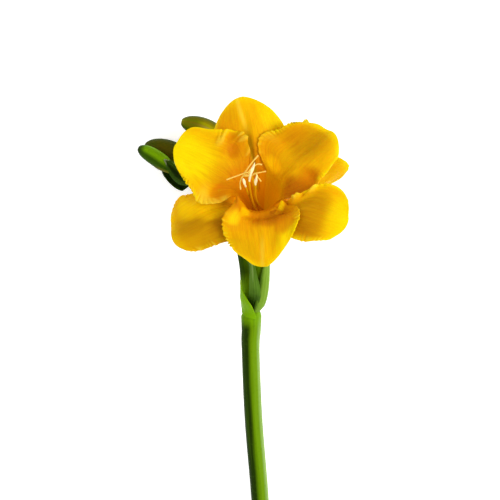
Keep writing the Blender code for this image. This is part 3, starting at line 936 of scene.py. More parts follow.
@dataclass
class Flower:
    """What a bloom and a bud share: a spine that starts on the stem, and the ovary at its foot."""

    STALK_RADIUS = 1.3
    OVARY_FOOT_SHARE = 0.7
    OVARY_LOBES = 0.03
    OVARY_SIDES = 30
    OVARY_SPACING = 0.3

    name: str
    stem: Stem
    corners: tuple[Triple, Triple, Triple, Triple]
    ovary_radius: float = 1.9
    ovary_length: float = 5.5
    spine: Path = field(init=False)
    foot: float = field(init=False)

    def __post_init__(self) -> None:
        """Works out the spine and how far up it the stem's shoulder reaches."""
        self.spine = Path.bezier(self.corners)
        clear = self.OVARY_FOOT_SHARE * self.ovary_radius + 2 * GAP
        places = stations(0, self.spine.length, 0.1)
        self.foot = next(s for s in places if self.stem.clearance(self.spine.at(s + GAP)) > clear)

    @property
    def ovary_from(self) -> float:
        """Where the ovary starts."""
        return self.foot + GAP

    @property
    def ovary_to(self) -> float:
        """Where the ovary ends."""
        return self.ovary_from + self.ovary_length

    @property
    def tube_from(self) -> float:
        """Where the tube or the bud starts."""
        return self.ovary_to + GAP

    def ovary(self) -> None:
        """Makes the three-lobed ovary."""

        def ring(s: float) -> Ring:
            """The ring at that distance."""
            share = (s - self.ovary_from) / self.ovary_length
            return s, self.ovary_radius * mix(self.OVARY_FOOT_SHARE, 1.0, math.sin(math.pi * share))

        def lobes(turn: float, _: float) -> float:
            """What the radius is multiplied by."""
            return 1.0 - self.OVARY_LOBES + self.OVARY_LOBES * math.cos(3 * math.tau * turn)

        rings = [ring(s) for s in stations(self.ovary_from, self.ovary_to, self.OVARY_SPACING)]
        skin = Skin(f"{self.name}_ovary").tube(self.spine, closed(rings), self.OVARY_SIDES, lobes)
        # Painted shade on its left and painted light on its right.
        skin.finish(GreenFinish(shaded_left=(0.04, 0.1, 0.0), right=(0.2, 0.34, 0.06)), Slot.OVARY)


@dataclass(frozen=True)
class Frill:
    """Fine waves along a stretch of a petal's margin."""

    FADE = 0.08
    LEAST = 0.3  # how strong the waves stay where they are weakest

    side: int
    start: float
    end: float
    height: float = 0.3
    count: float = 20.0
    reach: float = 0.28  # how far in from the margin they fade, as a share of the half width
    sway: float = 0.15  # how far the margin swings in and out of its line

    def weight(self, u: float, v: float) -> float:
        """How strong the waves are there.

        Args:
            u: The place across the petal.
            v: The place along it.

        Returns:
            A share from 0 to 1.
        """
        inside = smooth((v - self.start) / self.FADE) * smooth((self.end - v) / self.FADE)
        gathered = mix(self.LEAST, 1.0, smooth(0.5 + noise.noise(Vector((9.0 * v, 7.0 + self.side, 1.0)))))
        return inside * gathered * smooth((self.side * u - 1 + self.reach) / self.reach)

    def phase(self, u: float, v: float) -> float:
        """Where in its wave the margin is there."""
        return math.tau * (self.count * v + 2.0 * noise.noise(Vector((6.0 * v, 1.5 * u, 3.0 + self.side))))


@dataclass(frozen=True)
class Fold:
    """A soft hump or hollow in a petal: its place, its reach across and along, and its height."""

    u: float
    v: float
    across: float
    along: float
    height: float
    sideways: float = 0.0  # how far it moves the petal to the side
    power: float = 2.0  # 2 makes it round, and 1 draws it out into a point
    tone: float = 1.0  # how far the finish shows it
    outwards: float = 0.0  # how far it moves the petal out from the axis

    def weight(self, u: float, v: float) -> float:
        """How strong the fold is there, from 0 to 1."""
        return math.exp(-(math.hypot((u - self.u) / self.across, (v - self.v) / self.along) ** self.power))


@dataclass(frozen=True)
class Tepal:
    """One petal of a bloom: where its tip lies, how wide it is and how its blade is bent.

    Its two sides are given in the order in which they follow each other round the bloom's axis. Past
    its widest place its outline is half an oval.
    """

    angle: float  # of its tip round the axis
    reach: float  # of its tip from the axis
    rise: float  # of its tip over the mouth
    widths: tuple[float, float]  # from the midrib to each margin
    root_turn: float = 0.0  # angle round the axis from its tip to its root
    root_angles: tuple[float, float] = (38.0, 38.0)  # from the midrib to each margin, at its root
    widest: tuple[float, float] = (0.5, 0.5)  # where along its length each side is widest
    tip_share: float = 0.7  # how much of its width the last cross-row of its faces still spans
    fullness: tuple[float, float] = (2.0, 2.0)  # of each side: 2 makes an ellipse, less a point
    bend: float = 1.5  # how early it leans outwards
    cup: float = 0.0  # curvature across the blade, per millimetre
    lifts: tuple[float, float] = (0.0, 0.0)  # how far each margin is raised
    ruffle: float = 1.0  # height of the waves at the margins
    waves: float = 2.5
    phase: float = 0.0
    inner: bool = True
    crease: float = 0.3  # depth of the groove along its midrib
    swell: float = 0.9  # height of the broad swells of the blade
    folds: tuple[Fold, ...] = ()
    frills: tuple[Frill, ...] = ()
    finish: PetalFinish = PetalFinish()


@dataclass
class Blade:
    """A petal's skin, from its root deep in the tube to its tip."""

    ROOT_DEPTH = 1.8
    FREE_FROM = 0.4
    TURN_TO = 0.55
    STEPS = 40
    HALVINGS = 40
    GROOVE_WIDTH = 0.1
    GROOVE_FROM = 0.15  # how far along it has faded in
    GROOVE_FADE = 0.5  # over which share of the length it fades out to the tip
    FOLDS_FROM = 0.1
    TIP_WAVES = 0.6
    WAVE_LEAN = 0.2
    SWELLS = (1.6, 2.4, 7.0)  # steps of the broad noise over a half width, a length and to the next petal
    FINER = 3.5
    FINE_SWELL = 0.12
    FLAT = 1e-9  # a curvature that stands for none

    bloom: Bloom
    tepal: Tepal
    number: int
    places: list[Triple] = field(init=False)
    length: float = field(init=False)

    def __post_init__(self) -> None:
        """Works out the midrib and the petal's own directions."""
        self.out = self.bloom.outwards(self.tepal.angle)
        self.side = self.bloom.outwards(self.tepal.angle + 90)
        self.places, self.length = self.midrib()

    def midrib(self) -> tuple[list[Triple], float]:
        """Follows the midrib from root to tip.

        The lean changes from the slope of the tube's wall to an end lean. The end lean is halved in on
        until the midrib's height and width are in the right ratio, and the length then follows.

        Returns:
            Distance from the axis, height over the mouth and lean at each step, and the length.
        """
        tepal, bloom = self.tepal, self.bloom
        fade = math.exp(-self.ROOT_DEPTH / bloom.flare)
        root_lean = math.atan((bloom.mouth_radius - bloom.neck_radius) / bloom.flare * fade)
        root_radius = bloom.whorl_radius(self.ROOT_DEPTH, tepal.inner)
        wide, high = tepal.reach - root_radius, tepal.rise + self.ROOT_DEPTH
        low, top = -math.pi / 2, math.pi
        for _ in range(self.HALVINGS):
            end_lean = (low + top) / 2
            shares = (1 - (1 - (i + 0.5) / self.STEPS) ** tepal.bend for i in range(self.STEPS))
            leans = [mix(root_lean, end_lean, share) for share in shares]
            out, up = sum(map(math.sin, leans)), sum(map(math.cos, leans))
            low, top = (end_lean, top) if up * wide > high * out else (low, end_lean)
        step = wide / out
        places = [(root_radius, -self.ROOT_DEPTH, root_lean)]
        for lean in leans:
            radius, height, _ = places[-1]
            places.append((radius + step * math.sin(lean), height + step * math.cos(lean), lean))
        return places, step * self.STEPS

    def tail(self, u: float, depth: float) -> Vector:
        """The petal's root on the tube's wall.

        Args:
            u: The place across the petal.
            depth: How deep it lies under the mouth.

        Returns:
            The point.
        """
        spine = self.bloom.spine
        at = spine.length - depth
        ahead = spine.ahead(at)
        out = (self.out - ahead * ahead.dot(self.out)).normalized()
        turn = math.radians(u * self.tepal.root_angles[u > 0] + self.tepal.root_turn)
        away = math.cos(turn) * out + math.sin(turn) * ahead.cross(out)
        return spine.at(at) + away * self.bloom.whorl_radius(depth, self.tepal.inner)

    def point(self, u: float, v: float) -> Vector:
        """The petal's surface.

        Args:
            u: The place across the petal.
            v: The place along it. Below 0 it lies on the tube's wall.

        Returns:
            The point.
        """
        if v < 0:
            return self.tail(u, self.ROOT_DEPTH - v * self.length)
        tepal, axis = self.tepal, self.bloom.axis
        full, widest = tepal.fullness[u > 0], tepal.widest[u > 0]
        beyond = max(0.0, v - widest)
        along = v - beyond + beyond * (1 - (tepal.tip_share * abs(u)) ** full) ** (1 / full)
        place = along * self.STEPS
        i = min(int(place), self.STEPS - 1)
        radius, height, lean = (mix(a, b, place - i) for a, b in zip(self.places[i], self.places[i + 1]))
        face = math.sin(lean) * axis - math.cos(lean) * self.out
        free = smooth(along / self.FREE_FROM)
        inwards = (-self.out).lerp(face, free).normalized()
        root_radius = self.places[0][0]
        root_half = root_radius * math.radians(tepal.root_angles[u > 0])
        fall = beyond / (1 - widest)
        offset = u * mix(root_half, tepal.widths[u > 0], smooth(v / widest))
        offset *= (1 - (1 - tepal.tip_share**full) * fall**full) ** (1 / full)
        offset += (1 - smooth(v / self.TURN_TO)) * root_radius * math.radians(tepal.root_turn)
        bend = mix(1 / root_radius, tepal.cup, free) or self.FLAT
        crossing = self.side * (math.sin(bend * offset) / bend)
        crossing += inwards * ((1 - math.cos(bend * offset)) / bend)
        raised, shifted, pushed = self.waves(u, along, free)
        surface = self.bloom.mouth + self.out * (radius + pushed) + axis * height + crossing
        return surface + face * raised + self.side * shifted

    def waves(self, u: float, along: float, free: float) -> Triple:
        """The ruffles, folds and creases of the blade.

        Args:
            u: The place across the petal.
            along: The place along its midrib.
            free: How far the blade is free of the tube's curve, from 0 to 1.

        Returns:
            How far the surface is raised, shifted to the side and pushed outwards.
        """
        tepal = self.tepal
        edge = abs(u) ** 3 * math.sin(math.tau * (tepal.waves * along + tepal.phase + self.WAVE_LEAN * u))
        tip = along**5 * math.sin(math.tau * (tepal.waves * 0.5 * u + tepal.phase))
        raised = free * (tepal.ruffle * (edge + self.TIP_WAVES * tip) + tepal.lifts[u > 0] * u * u)
        groove = math.exp(-((u / self.GROOVE_WIDTH) ** 2)) * smooth(along / self.GROOVE_FROM)
        raised -= tepal.crease * groove * smooth((1 - along) / self.GROOVE_FADE)
        seed = Vector(scale * part for scale, part in zip(self.SWELLS, (u, along, self.number)))
        raised += free * tepal.swell * noise.noise(seed) + self.FINE_SWELL * noise.noise(self.FINER * seed)
        shifted, pushed = 0.0, 0.0
        for frill in tepal.frills:
            weight, phase = frill.weight(u, along), frill.phase(u, along)
            raised += frill.height * weight * math.sin(phase)
            shifted += frill.side * frill.sway * weight * math.cos(phase)
        for fold in tepal.folds:
            weight = fold.weight(u, along) * smooth(along / self.FOLDS_FROM)
            raised += fold.height * weight
            shifted += fold.sideways * weight
            pushed += fold.outwards * weight
        return raised, shifted, pushed

    def relief(self, u: float, v: float) -> float:
        """How far frills and folds stand out, for the finish.

        Args:
            u: The place across the petal.
            v: The place along it.

        Returns:
            About -1 in a hollow and 1 on a crest.
        """
        tepal, stands = self.tepal, 0.0
        for frill in tepal.frills:
            stands += frill.weight(u, v) * math.sin(frill.phase(u, v))
        for fold in tepal.folds:
            stands += math.copysign(fold.tone * fold.weight(u, v), fold.height)
        return stands

    def build(self) -> None:
        """Makes the petal."""
        bloom = self.bloom
        start = (self.ROOT_DEPTH - bloom.tail_depth) / self.length
        skin = Skin(f"{bloom.name}_tepal_{self.number}")
        skin.blade(self.point, bloom.columns, bloom.rows, start, self.relief)
        skin.finish(self.tepal.finish, Slot.TEPAL, f"{bloom.name}_perianth", bloom.PETAL)


@dataclass(frozen=True)
class Stamen:
    """Where a filament starts on the tube's wall, where it passes, and the two ends of its anther."""

    FILAMENT_RADIUS = 0.32
    ANTHER_RADIUS = 0.5
    LOBES = 0.24  # how deep the grooves between the anther's lobes are
    TWIST = 0.14
    SIDES = 20

    side: float
    depth: float
    waist: Triple
    foot: Triple
    tip: Triple

    def build(self, bloom: Bloom, number: int) -> None:
        """Makes the filament and its two-lobed anther.

        Args:
            bloom: The bloom that it stands in.
            number: Its number there.
        """
        clear = bloom.tube_radius(self.depth) - bloom.TUBE_WALL - GAP - self.FILAMENT_RADIUS
        start = bloom.spine.round_about(bloom.spine.length - self.depth, self.side, clear)
        path = Path.through([start, self.waist, self.foot, self.tip])
        anther_from = path.knot_at(2)

        def ring(s: float) -> Ring:
            """The ring at that distance, on the filament or on the anther's oval.

            Args:
                s: The distance along the path.

            Returns:
                The distance and the radius there.
            """
            share = max(0.0, (s - anther_from) / (path.length - anther_from))
            oval = self.ANTHER_RADIUS * math.sqrt(max(0.0, 1 - (2 * share - 1) ** 2))
            return s, max(oval, self.FILAMENT_RADIUS * (1 - share))

        def lobes(turn: float, s: float) -> float:
            """What the radius is multiplied by."""
            wave = 1.0 - math.cos(2 * math.tau * (turn + self.TWIST * s))
            return 1.0 - smooth(s - anther_from) * self.LOBES * wave

        places = stations(0, anther_from, 0.6) + stations(anther_from, path.length, 0.15)[1:]
        rings = closed([ring(s) for s in places])
        marks = [float(s > anther_from) for s, _ in rings]
        skin = Skin(f"{bloom.name}_stamen_{number}").tube(path, rings, self.SIDES, lobes, marks)
        skin.finish(PollenFinish(), Slot.STAMEN)


Fork = tuple[Triple, tuple[Triple, ...], tuple[Triple, ...]]


@dataclass
class Bloom(Flower):
    """An open flower: a funnel-shaped tube with six tepals in two whorls at its mouth."""

    TUBE_WALL = 1.2
    RIM_WALL = 0.3
    RIM_DEPTH = 1.4
    THINS_OVER = 4.0
    TUBE_SIDES = 60
    SEAMS = 0.01
    WHORL_OFFSET = 0.22
    PETAL = 0.34
    STYLE_RADIUS = 0.27
    STYLE_SIDES = 14
    STYLE_LEAVES_AT = 13.0  # how deep under the mouth it leaves the tube's middle
    ARM_TIP_RADIUS = 0.16
    ARM_SWELL = 0.08
    ARM_SIDES = 12

    across_towards: Triple = (1.0, 0.0, 0.0)
    mouth_radius: float = 10.0
    neck_radius: float = 2.0
    flare: float = 8.5
    tail_depth: float = 16.0  # how far under the mouth the petals' roots run down the tube
    tepals: tuple[Tepal, ...] = ()
    columns: int = 80
    rows: int = 190
    funnel: FunnelFinish = FunnelFinish()

    def __post_init__(self) -> None:
        """Works out the mouth and the directions round it."""
        super().__post_init__()
        self.mouth = self.spine.points[-1]
        self.axis = self.spine.ahead(self.spine.length)
        towards = Vector(self.across_towards)
        self.across = (towards - self.axis * self.axis.dot(towards)).normalized()
        self.above = self.axis.cross(self.across)

    def outwards(self, angle: float) -> Vector:
        """The direction away from the axis at that angle."""
        turn = math.radians(angle)
        return math.cos(turn) * self.across + math.sin(turn) * self.above

    def tube_radius(self, depth: float) -> float:
        """The outer radius of the tube at this depth under the mouth."""
        return mix(self.neck_radius, self.mouth_radius, math.exp(-depth / self.flare))

    def whorl_radius(self, depth: float, inner: bool) -> float:
        """The radius of a whorl of petals where it lies on the tube's wall."""
        return self.tube_radius(depth) - self.TUBE_WALL / 2 + self.WHORL_OFFSET * (-1 if inner else 1)

    def spot(self, angle: float, radius: float, height: float) -> Vector:
        """The place at that angle round the axis and distance from it, so high over the mouth."""
        return self.mouth + self.outwards(angle) * radius + self.axis * height

    def tube(self) -> None:
        """Makes the funnel, whose wall thins towards its rim between the two whorls."""
        end = self.spine.length

        def ring(s: float, depth: float, depth_at_rim: float) -> Ring:
            """The ring at that distance, so far inside the tube's surface."""
            thin = smooth((s - end + self.tail_depth) / self.THINS_OVER)
            return s, self.tube_radius(end - s) - mix(depth, depth_at_rim, thin)

        def seams(turn: float, s: float) -> float:
            """What the radius is multiplied by."""
            return 1.0 + self.SEAMS * math.cos(6 * math.tau * turn) * smooth((s - self.tube_from) / 6.0)

        climb = stations(self.tube_from, end - self.RIM_DEPTH, 0.5)
        rings = [ring(s, 0.0, self.RIM_WALL) for s in climb]
        rings += [ring(s, self.TUBE_WALL, 2 * self.RIM_WALL) for s in reversed(climb)]
        marks = [0.0] * len(climb) + [-1.0] * len(climb)
        skin = Skin(f"{self.name}_tube")
        skin.tube(self.spine, [*rings, rings[0]], self.TUBE_SIDES, seams, [*marks, marks[0]])
        skin.finish(self.funnel, Slot.TEPAL, f"{self.name}_perianth")

    def style(self, knots: Sequence[Triple | Vector], forks: Sequence[Fork]) -> None:
        """Makes the style, which stands on the ovary, and its three branches of two arms each.

        Args:
            knots: Where it passes after it leaves the middle of the tube.
            forks: For each branch, where it forks and the knots of its two arms.
        """
        end = self.spine.length
        inside = [self.spine.at(s) for s in stations(self.tube_from, end - self.STYLE_LEAVES_AT, 3.0)]
        path = Path.through([*inside, *knots])
        rings = closed([(s, self.STYLE_RADIUS) for s in stations(0, path.length, 0.8)])
        skin = Skin(f"{self.name}_style").tube(path, rings, self.STYLE_SIDES)
        for fork, *ends in forks:
            for knots_out in ends:
                arm = Path.through([path.points[-1], fork, *knots_out])
                rings = closed([(s, self.arm_radius(s / arm.length)) for s in stations(0, arm.length, 0.25)])
                skin.tube(arm, rings, self.ARM_SIDES, None, [1.0] * len(rings))
        skin.finish(PollenFinish(grainy=(0.8, 0.53, 0.1)), Slot.STYLE)

    def arm_radius(self, share: float) -> float:
        """The radius of the style's arm at that share of its length: it tapers, and swells at its tip."""
        swell = self.ARM_SWELL * smooth((share - 0.75) / 0.2)
        return mix(self.STYLE_RADIUS, self.ARM_TIP_RADIUS, share) + swell

    def build(self) -> None:
        """Makes the tube and the petals."""
        self.tube()
        for number, tepal in enumerate(self.tepals, 1):
            Blade(self, tepal, number).build()


@dataclass
class Bud(Flower):
    """A closed flower: three outer tepals folded round each other into a spindle."""

    NECK = 1.1
    TIP_FALL = 0.95
    LAP_HEIGHT = 0.045
    LAP_WIDTH = 0.07
    LAP_TWIST = 0.25
    SIDES = 96
    CLOSE = (0.3, 0.55, 0.75, 0.9, 0.97, 1.0)  # where the rings of its tip lie in the last span

    ovary_radius: float = 1.25
    ovary_length: float = 3.5
    radius: float = 4.0
    belly: float = 0.62  # where along it it is widest
    blunt: float = 2.2  # how full it stays towards its tip
    slot: Slot = Slot.UPPER_BUD
    finish: GreenFinish = GreenFinish()

    def share(self, s: float) -> float:
        """How far along the bud that distance along the spine lies, from 0 to 1."""
        return (s - self.tube_from) / (self.spine.length - self.tube_from)

    def girth(self, s: float) -> float:
        """The bud's radius.

        Args:
            s: How far along the spine.

        Returns:
            The radius there.
        """
        share = self.share(s)
        if share < self.belly:
            return mix(self.NECK, self.radius, smooth(share / self.belly))
        fall = ((share - self.belly) / (1 - self.belly)) ** self.blunt
        return self.radius * math.sqrt(1 - self.TIP_FALL * fall)

    def folded(self, turn: float, s: float) -> float:
        """The margins of the three outer tepals, each laid over the next.

        Args:
            turn: The share of a turn round the bud.
            s: How far along the spine.

        Returns:
            What the radius is multiplied by.
        """
        share = self.share(s)
        step = (3.0 * turn + self.LAP_TWIST * share) % 1.0
        lap = smooth(step / self.LAP_WIDTH) * (1.0 - 0.6 * step)
        return 1.0 - self.LAP_HEIGHT * smooth(share / 0.3) * (1.0 - lap)

    def build(self) -> None:
        """Makes the bud."""
        *even, end = stations(self.tube_from, self.spine.length, 0.5)
        places = [*even, *(mix(even[-1], end, share) for share in self.CLOSE)]
        rings = closed([(s, self.girth(s)) for s in places])
        Skin(self.name).tube(self.spine, rings, self.SIDES, self.folded).finish(self.finish, self.slot)


@dataclass
class Bract:
    """A small green leaf that wraps the foot of a flower."""

    WALL = 0.42
    TIP_SHARE = 0.1
    TIP_FALL = 0.1
    PLACES = (-1.0, -0.5, 0.0, 0.5, 1.0)
    RIB = 0.06
    RIB_WIDTH = 0.12
    VEIN = 0.02
    VEINS = 9
    BELLY_TO = 0.7
    BELLY_POWER = 0.6  # less than 1 moves the belly towards the foot
    COLUMNS = 28
    ROWS = 40

    name: str
    flower: Flower
    middle: float  # angle of its foot's middle round the spine, from straight up towards the right
    spread: float  # angle from its midrib to its margin, at its foot
    radius: float  # of its foot, to the middle of its thickness
    tip_radius: float
    start: float  # least distance of its foot along the spine
    end: float  # distance of its tip
    taper: float = 2.5  # how late it narrows: 1 makes its sides straight
    tip_turn: float = 0.0  # angle from its foot's middle to its tip, round the spine
    finish: BractFinish = BractFinish()
    settles: float = 0.3  # how far along its foot still draws towards the stem
    belly: float = 0.0  # how far it stands off half way up

    def foot(self, u: float) -> float:
        """Where the bract can start.

        Args:
            u: The place across it.

        Returns:
            The distance along the spine, on the stem's surface if that is in its way.
        """
        angle = self.middle + u * self.spread
        for s in stations(self.start, self.end, 0.2):
            if self.flower.stem.clearance(self.flower.spine.round_about(s, angle, self.radius)) >= 2 * GAP:
                return s
        return self.end

    def build(self) -> None:
        """Makes the bract."""
        feet = {u: self.foot(u) for u in self.PLACES}

        def run(u: float) -> float:
            """The straight line between the feet of the midrib and of that side's margin."""
            return mix(feet[0.0], feet[1.0] if u > 0 else feet[-1.0], abs(u))

        raised = max(feet[u] - run(u) for u in self.PLACES)

        def shape(u: float, v: float) -> Vector:
            """The bract's surface.

            Args:
                u: The place across it.
                v: The place along it.

            Returns:
                The point.
            """
            low = run(u) + raised
            high = mix(low, self.end, 1 - self.TIP_FALL * abs(u) ** 1.5)
            angle = self.middle + u * self.spread * mix(1, self.TIP_SHARE, v**self.taper) + self.tip_turn * v
            rib = self.RIB * math.exp(-((u / self.RIB_WIDTH) ** 2))
            rib += self.VEIN * math.cos(self.VEINS * math.pi * u)
            radius = mix(self.radius, self.tip_radius, v) + rib * smooth(v / 0.2)
            bulge = math.sin(math.pi * min(1.0, v / self.BELLY_TO) ** self.BELLY_POWER)
            radius += self.belly * smooth(u + 1) * bulge
            point = self.flower.spine.round_about(mix(low, high, v), angle, radius)
            return self.flower.stem.settle(point, smooth(v / self.settles)) if v < self.settles else point

        skin = Skin(self.name).blade(shape, self.COLUMNS, self.ROWS)
        skin.finish(self.finish, Slot.BRACT, wall=self.WALL)


@dataclass(frozen=True)
class Softbox:
    """A square studio lamp that looks at the flower."""

    place: Triple
    size: float
    power: float
    colour: Colour = (1.0, 1.0, 1.0)

    def build(self, aim: Vector, number: int) -> None:
        """Places the lamp.

        Args:
            aim: The point that it looks at, in metres.
            number: Its number in the studio.
        """
        data = bpy.data.lights.new(f"softbox_{number}", "AREA")
        data.size, data.energy, data.color = self.size, self.power, self.colour
        lamp = placed(data.name, data)
        lamp.location = Vector(self.place)
        lamp.rotation_euler = (aim - lamp.location).to_track_quat("-Z", "Y").to_euler()


@dataclass(frozen=True)
class Studio:
    """A white floor, soft lamps and a camera that looks straight down, in metres."""

    eye: Triple = (0.00288, 0.03104, 0.640)
    lens: float = 135.0
    sensor: float = 36.0
    aim: Triple = (0.003, 0.04, 0.03)
    floor_size: float = 4.0
    daylight: float = 0.82
    softboxes: tuple[Softbox, ...] = (
        Softbox((0.75, 0.0, 0.7), 0.6, 8.0),
        Softbox((-0.6, 0.3, 0.7), 0.8, 1.5),
    )

    def build(self) -> None:
        """Makes the floor, the lamps, the daylight and the camera."""
        skin = bmesh.new()
        bmesh.ops.create_grid(skin, x_segments=1, y_segments=1, size=self.floor_size / 2)
        mesh = bpy.data.meshes.new("floor")
        skin.to_mesh(mesh)
        skin.free()
        mesh.materials.append(FloorFinish().material("floor_paper"))
        placed("floor", mesh)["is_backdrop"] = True
        for number, softbox in enumerate(self.softboxes, 1):
            softbox.build(Vector(self.aim), number)
        world = bpy.data.worlds.new("daylight")
        world.use_nodes = True
        background = world.node_tree.nodes["Background"]
        background.inputs["Color"].default_value = (1.0, 1.0, 1.0, 1.0)
        background.inputs["Strength"].default_value = self.daylight
        bpy.context.scene.world = world
        bpy.context.scene.view_settings.view_transform = "Standard"
        data = bpy.data.cameras.new("camera")
        data.lens, data.sensor_width = self.lens, self.sensor
        camera = placed("camera", data)
        camera.location = self.eye
        bpy.context.scene.camera = camera


STEM = Stem(
    (
        (7.7, -80.0, 2.6, 2.85),
        (6.3, -53.4, 6.0, 2.95),
        (4.1, -26.1, 9.2, 3.0),
        (3.1, -2.4, 12.0, 3.0),
        (3.3, 4.3, 12.8, 3.25),
        (3.3, 9.3, 13.3, 3.45),
        (2.9, 11.3, 13.3, 2.6),
        (2.3, 15.0, 12.9, 2.3),
        (1.9, 19.3, 12.2, 2.1),
        (1.0, 27.0, 10.8, 1.9),
        (-1.0, 35.7, 9.5, 1.9),
        (-5.2, 43.2, 9.0, 1.5),
        (-9.2, 46.9, 8.8, 1.4),
        (-13.3, 49.9, 8.6, 1.2),
        (-17.3, 53.3, 8.8, 0.9),
    ),
    # Painted shade on its left and a painted highlight on its right.
    skin=GreenFinish(
        body=(0.12, 0.235, 0.0), shaded_left_from=0.15, shaded_left_to=-0.4, right_from=0.55, right_to=0.85,
        patches=(
            # A darker rachis, partly painted shade where it bends back; then the bright green of the node.
            Patch(0.0, 12.0, 3.0, 3.2, (0.02, 0.05, 0.0), 0.9),
            Patch(0.05, 9.5, 1.5, 0.95, (0.15, 0.32, 0.0), 0.95),
        ),
    ),
)

TOP_TEPAL = Tepal(
    98, 29.4, 10.0, (12.3, 12.0), widest=(0.45, 0.45), fullness=(1.6, 1.8), cup=-0.03,
    lifts=(-1.5, -1.5), ruffle=0.4, waves=2.0, inner=False, crease=0.5,
    folds=(Fold(0.5, 0.35, 0.5, 0.22, -1.2, tone=0.0), Fold(-0.6, 0.35, 0.4, 0.25, -1.2, tone=0.0)),
    finish=PetalFinish(
        # A pale outer midrib, and painted shade in the groove of its inner part.
        stripe=0.45, groove=0.9, sway=0.28, rim=0.5,
        patches=(
            # Painted shade on its left side and painted light on its right side, then painted shade across
            # its lower part.
            Patch(0.6, 0.6, 0.5, 0.45, AMBER, 0.4), Patch(-0.8, 0.75, 0.5, 0.4, LEMON, 0.7),
            Patch(0.0, 0.25, 1.0, 0.25, AMBER, 0.6),
        ),
    ),
)
UPPER_LEFT_TEPAL = Tepal(
    153, 29.6, 7.0, (11.2, 12.8), widest=(0.36, 0.36), fullness=(3.2, 1.5), cup=0.02,
    lifts=(0.0, 0.5), ruffle=0.4,
    folds=(
        Fold(-1.0, 0.32, 0.6, 0.2, 1.5, -3.0, tone=0.0), Fold(-0.9, 0.3, 0.25, 0.05, 1.3),
        Fold(-0.6, 0.3, 0.2, 0.07, -1.3), Fold(-0.85, 0.42, 0.2, 0.05, -0.8), Fold(-0.7, 0.5, 0.2, 0.05, 0.8),
        Fold(1.0, 0.33, 0.5, 0.14, 0.0, 2.4), Fold(1.0, 0.2, 0.25, 0.08, 1.6, 1.3),
        Fold(-1.0, 0.72, 0.4, 0.15, 0.0, 0.7, tone=0.0), Fold(0.62, 0.22, 0.3, 0.08, -1.5),
    ),
    frills=(Frill(-1, 0.12, 0.6, 0.6, 11.0, 0.45, 0.3), Frill(1, 0.12, 0.75, 0.35)),
    finish=PetalFinish(
        patches=(
            # Painted shade in the crumpled inner margin (the second patch).
            Patch(0.1, 0.8, 1.0, 0.5, (0.8, 0.69, 0.0), 0.75), Patch(-0.7, 0.35, 0.45, 0.22, AMBER, 0.7),
            # Painted shade in a fold and in the hollow of a cupped lobe.
            Patch(-0.55, 0.3, 0.2, 0.1, SHADED_ORANGE, 0.7), Patch(0.62, 0.2, 0.35, 0.12, AMBER, 0.8),
            Patch(-0.75, 0.62, 0.45, 0.3, (0.74, 0.43, 0.0), 0.6),
        ),
        rim=0.65,
    ),
)
UPPER_RIGHT_TEPAL = Tepal(
    33, 29.7, 6.0, (10.4, 12.0), root_angles=(60, 38), widest=(0.4, 0.28), fullness=(2.2, 1.75), cup=0.02,
    lifts=(-2.0, 0.0), ruffle=0.5, waves=3.0, phase=0.3,
    folds=(
        Fold(-0.75, 0.36, 0.4, 0.13, -1.6), Fold(-1.0, 0.2, 0.5, 0.17, -1.0, -2.0, tone=0.0),
        Fold(0.8, 1.0, 0.15, 0.08, 0.0, 0.9, outwards=0.5),
        Fold(0.3, 1.0, 0.3, 0.2, 0.0, outwards=-0.5, tone=0.0),
        Fold(1.0, 0.72, 0.3, 0.15, 0.0, 0.9, tone=0.0), Fold(1.0, 0.28, 0.45, 0.14, 0.3, 2.0),
        Fold(0.75, 0.22, 0.25, 0.08, -0.8),
    ),
    frills=(Frill(1, 0.1, 0.85, 0.32, 24.0, 0.22), Frill(-1, 0.2, 0.6, 0.2, 12.0)),
    finish=PetalFinish(
        pale_and_highlight=(0.72, 0.46, 0.02), root=(0.68, 0.33, 0.0), amber_to=0.3, painted_glow=(0.25, 0.1, 0.0),
        patches=(
            # Painted shade on its middle and in its lower fold.
            Patch(0.1, 0.7, 0.9, 0.4, (0.42, 0.19, 0.0), 0.7), Patch(-0.8, 0.35, 0.5, 0.26, SHADED_ORANGE, 0.9),
            # Painted shade low near its root (the first patch).
            Patch(-0.75, 0.14, 0.6, 0.2, SHADED_ORANGE, 0.95), Patch(0.7, 0.55, 0.5, 0.4, AMBER, 0.35),
            Patch(0.75, 0.25, 0.5, 0.25, (0.73, 0.3, 0.0), 0.6),
            # Painted light on its root, standing in for light shining through the throat.
            Patch(0.5, 0.12, 0.4, 0.11, (0.92, 0.5, 0.0), 0.85),
        ),
    ),
)
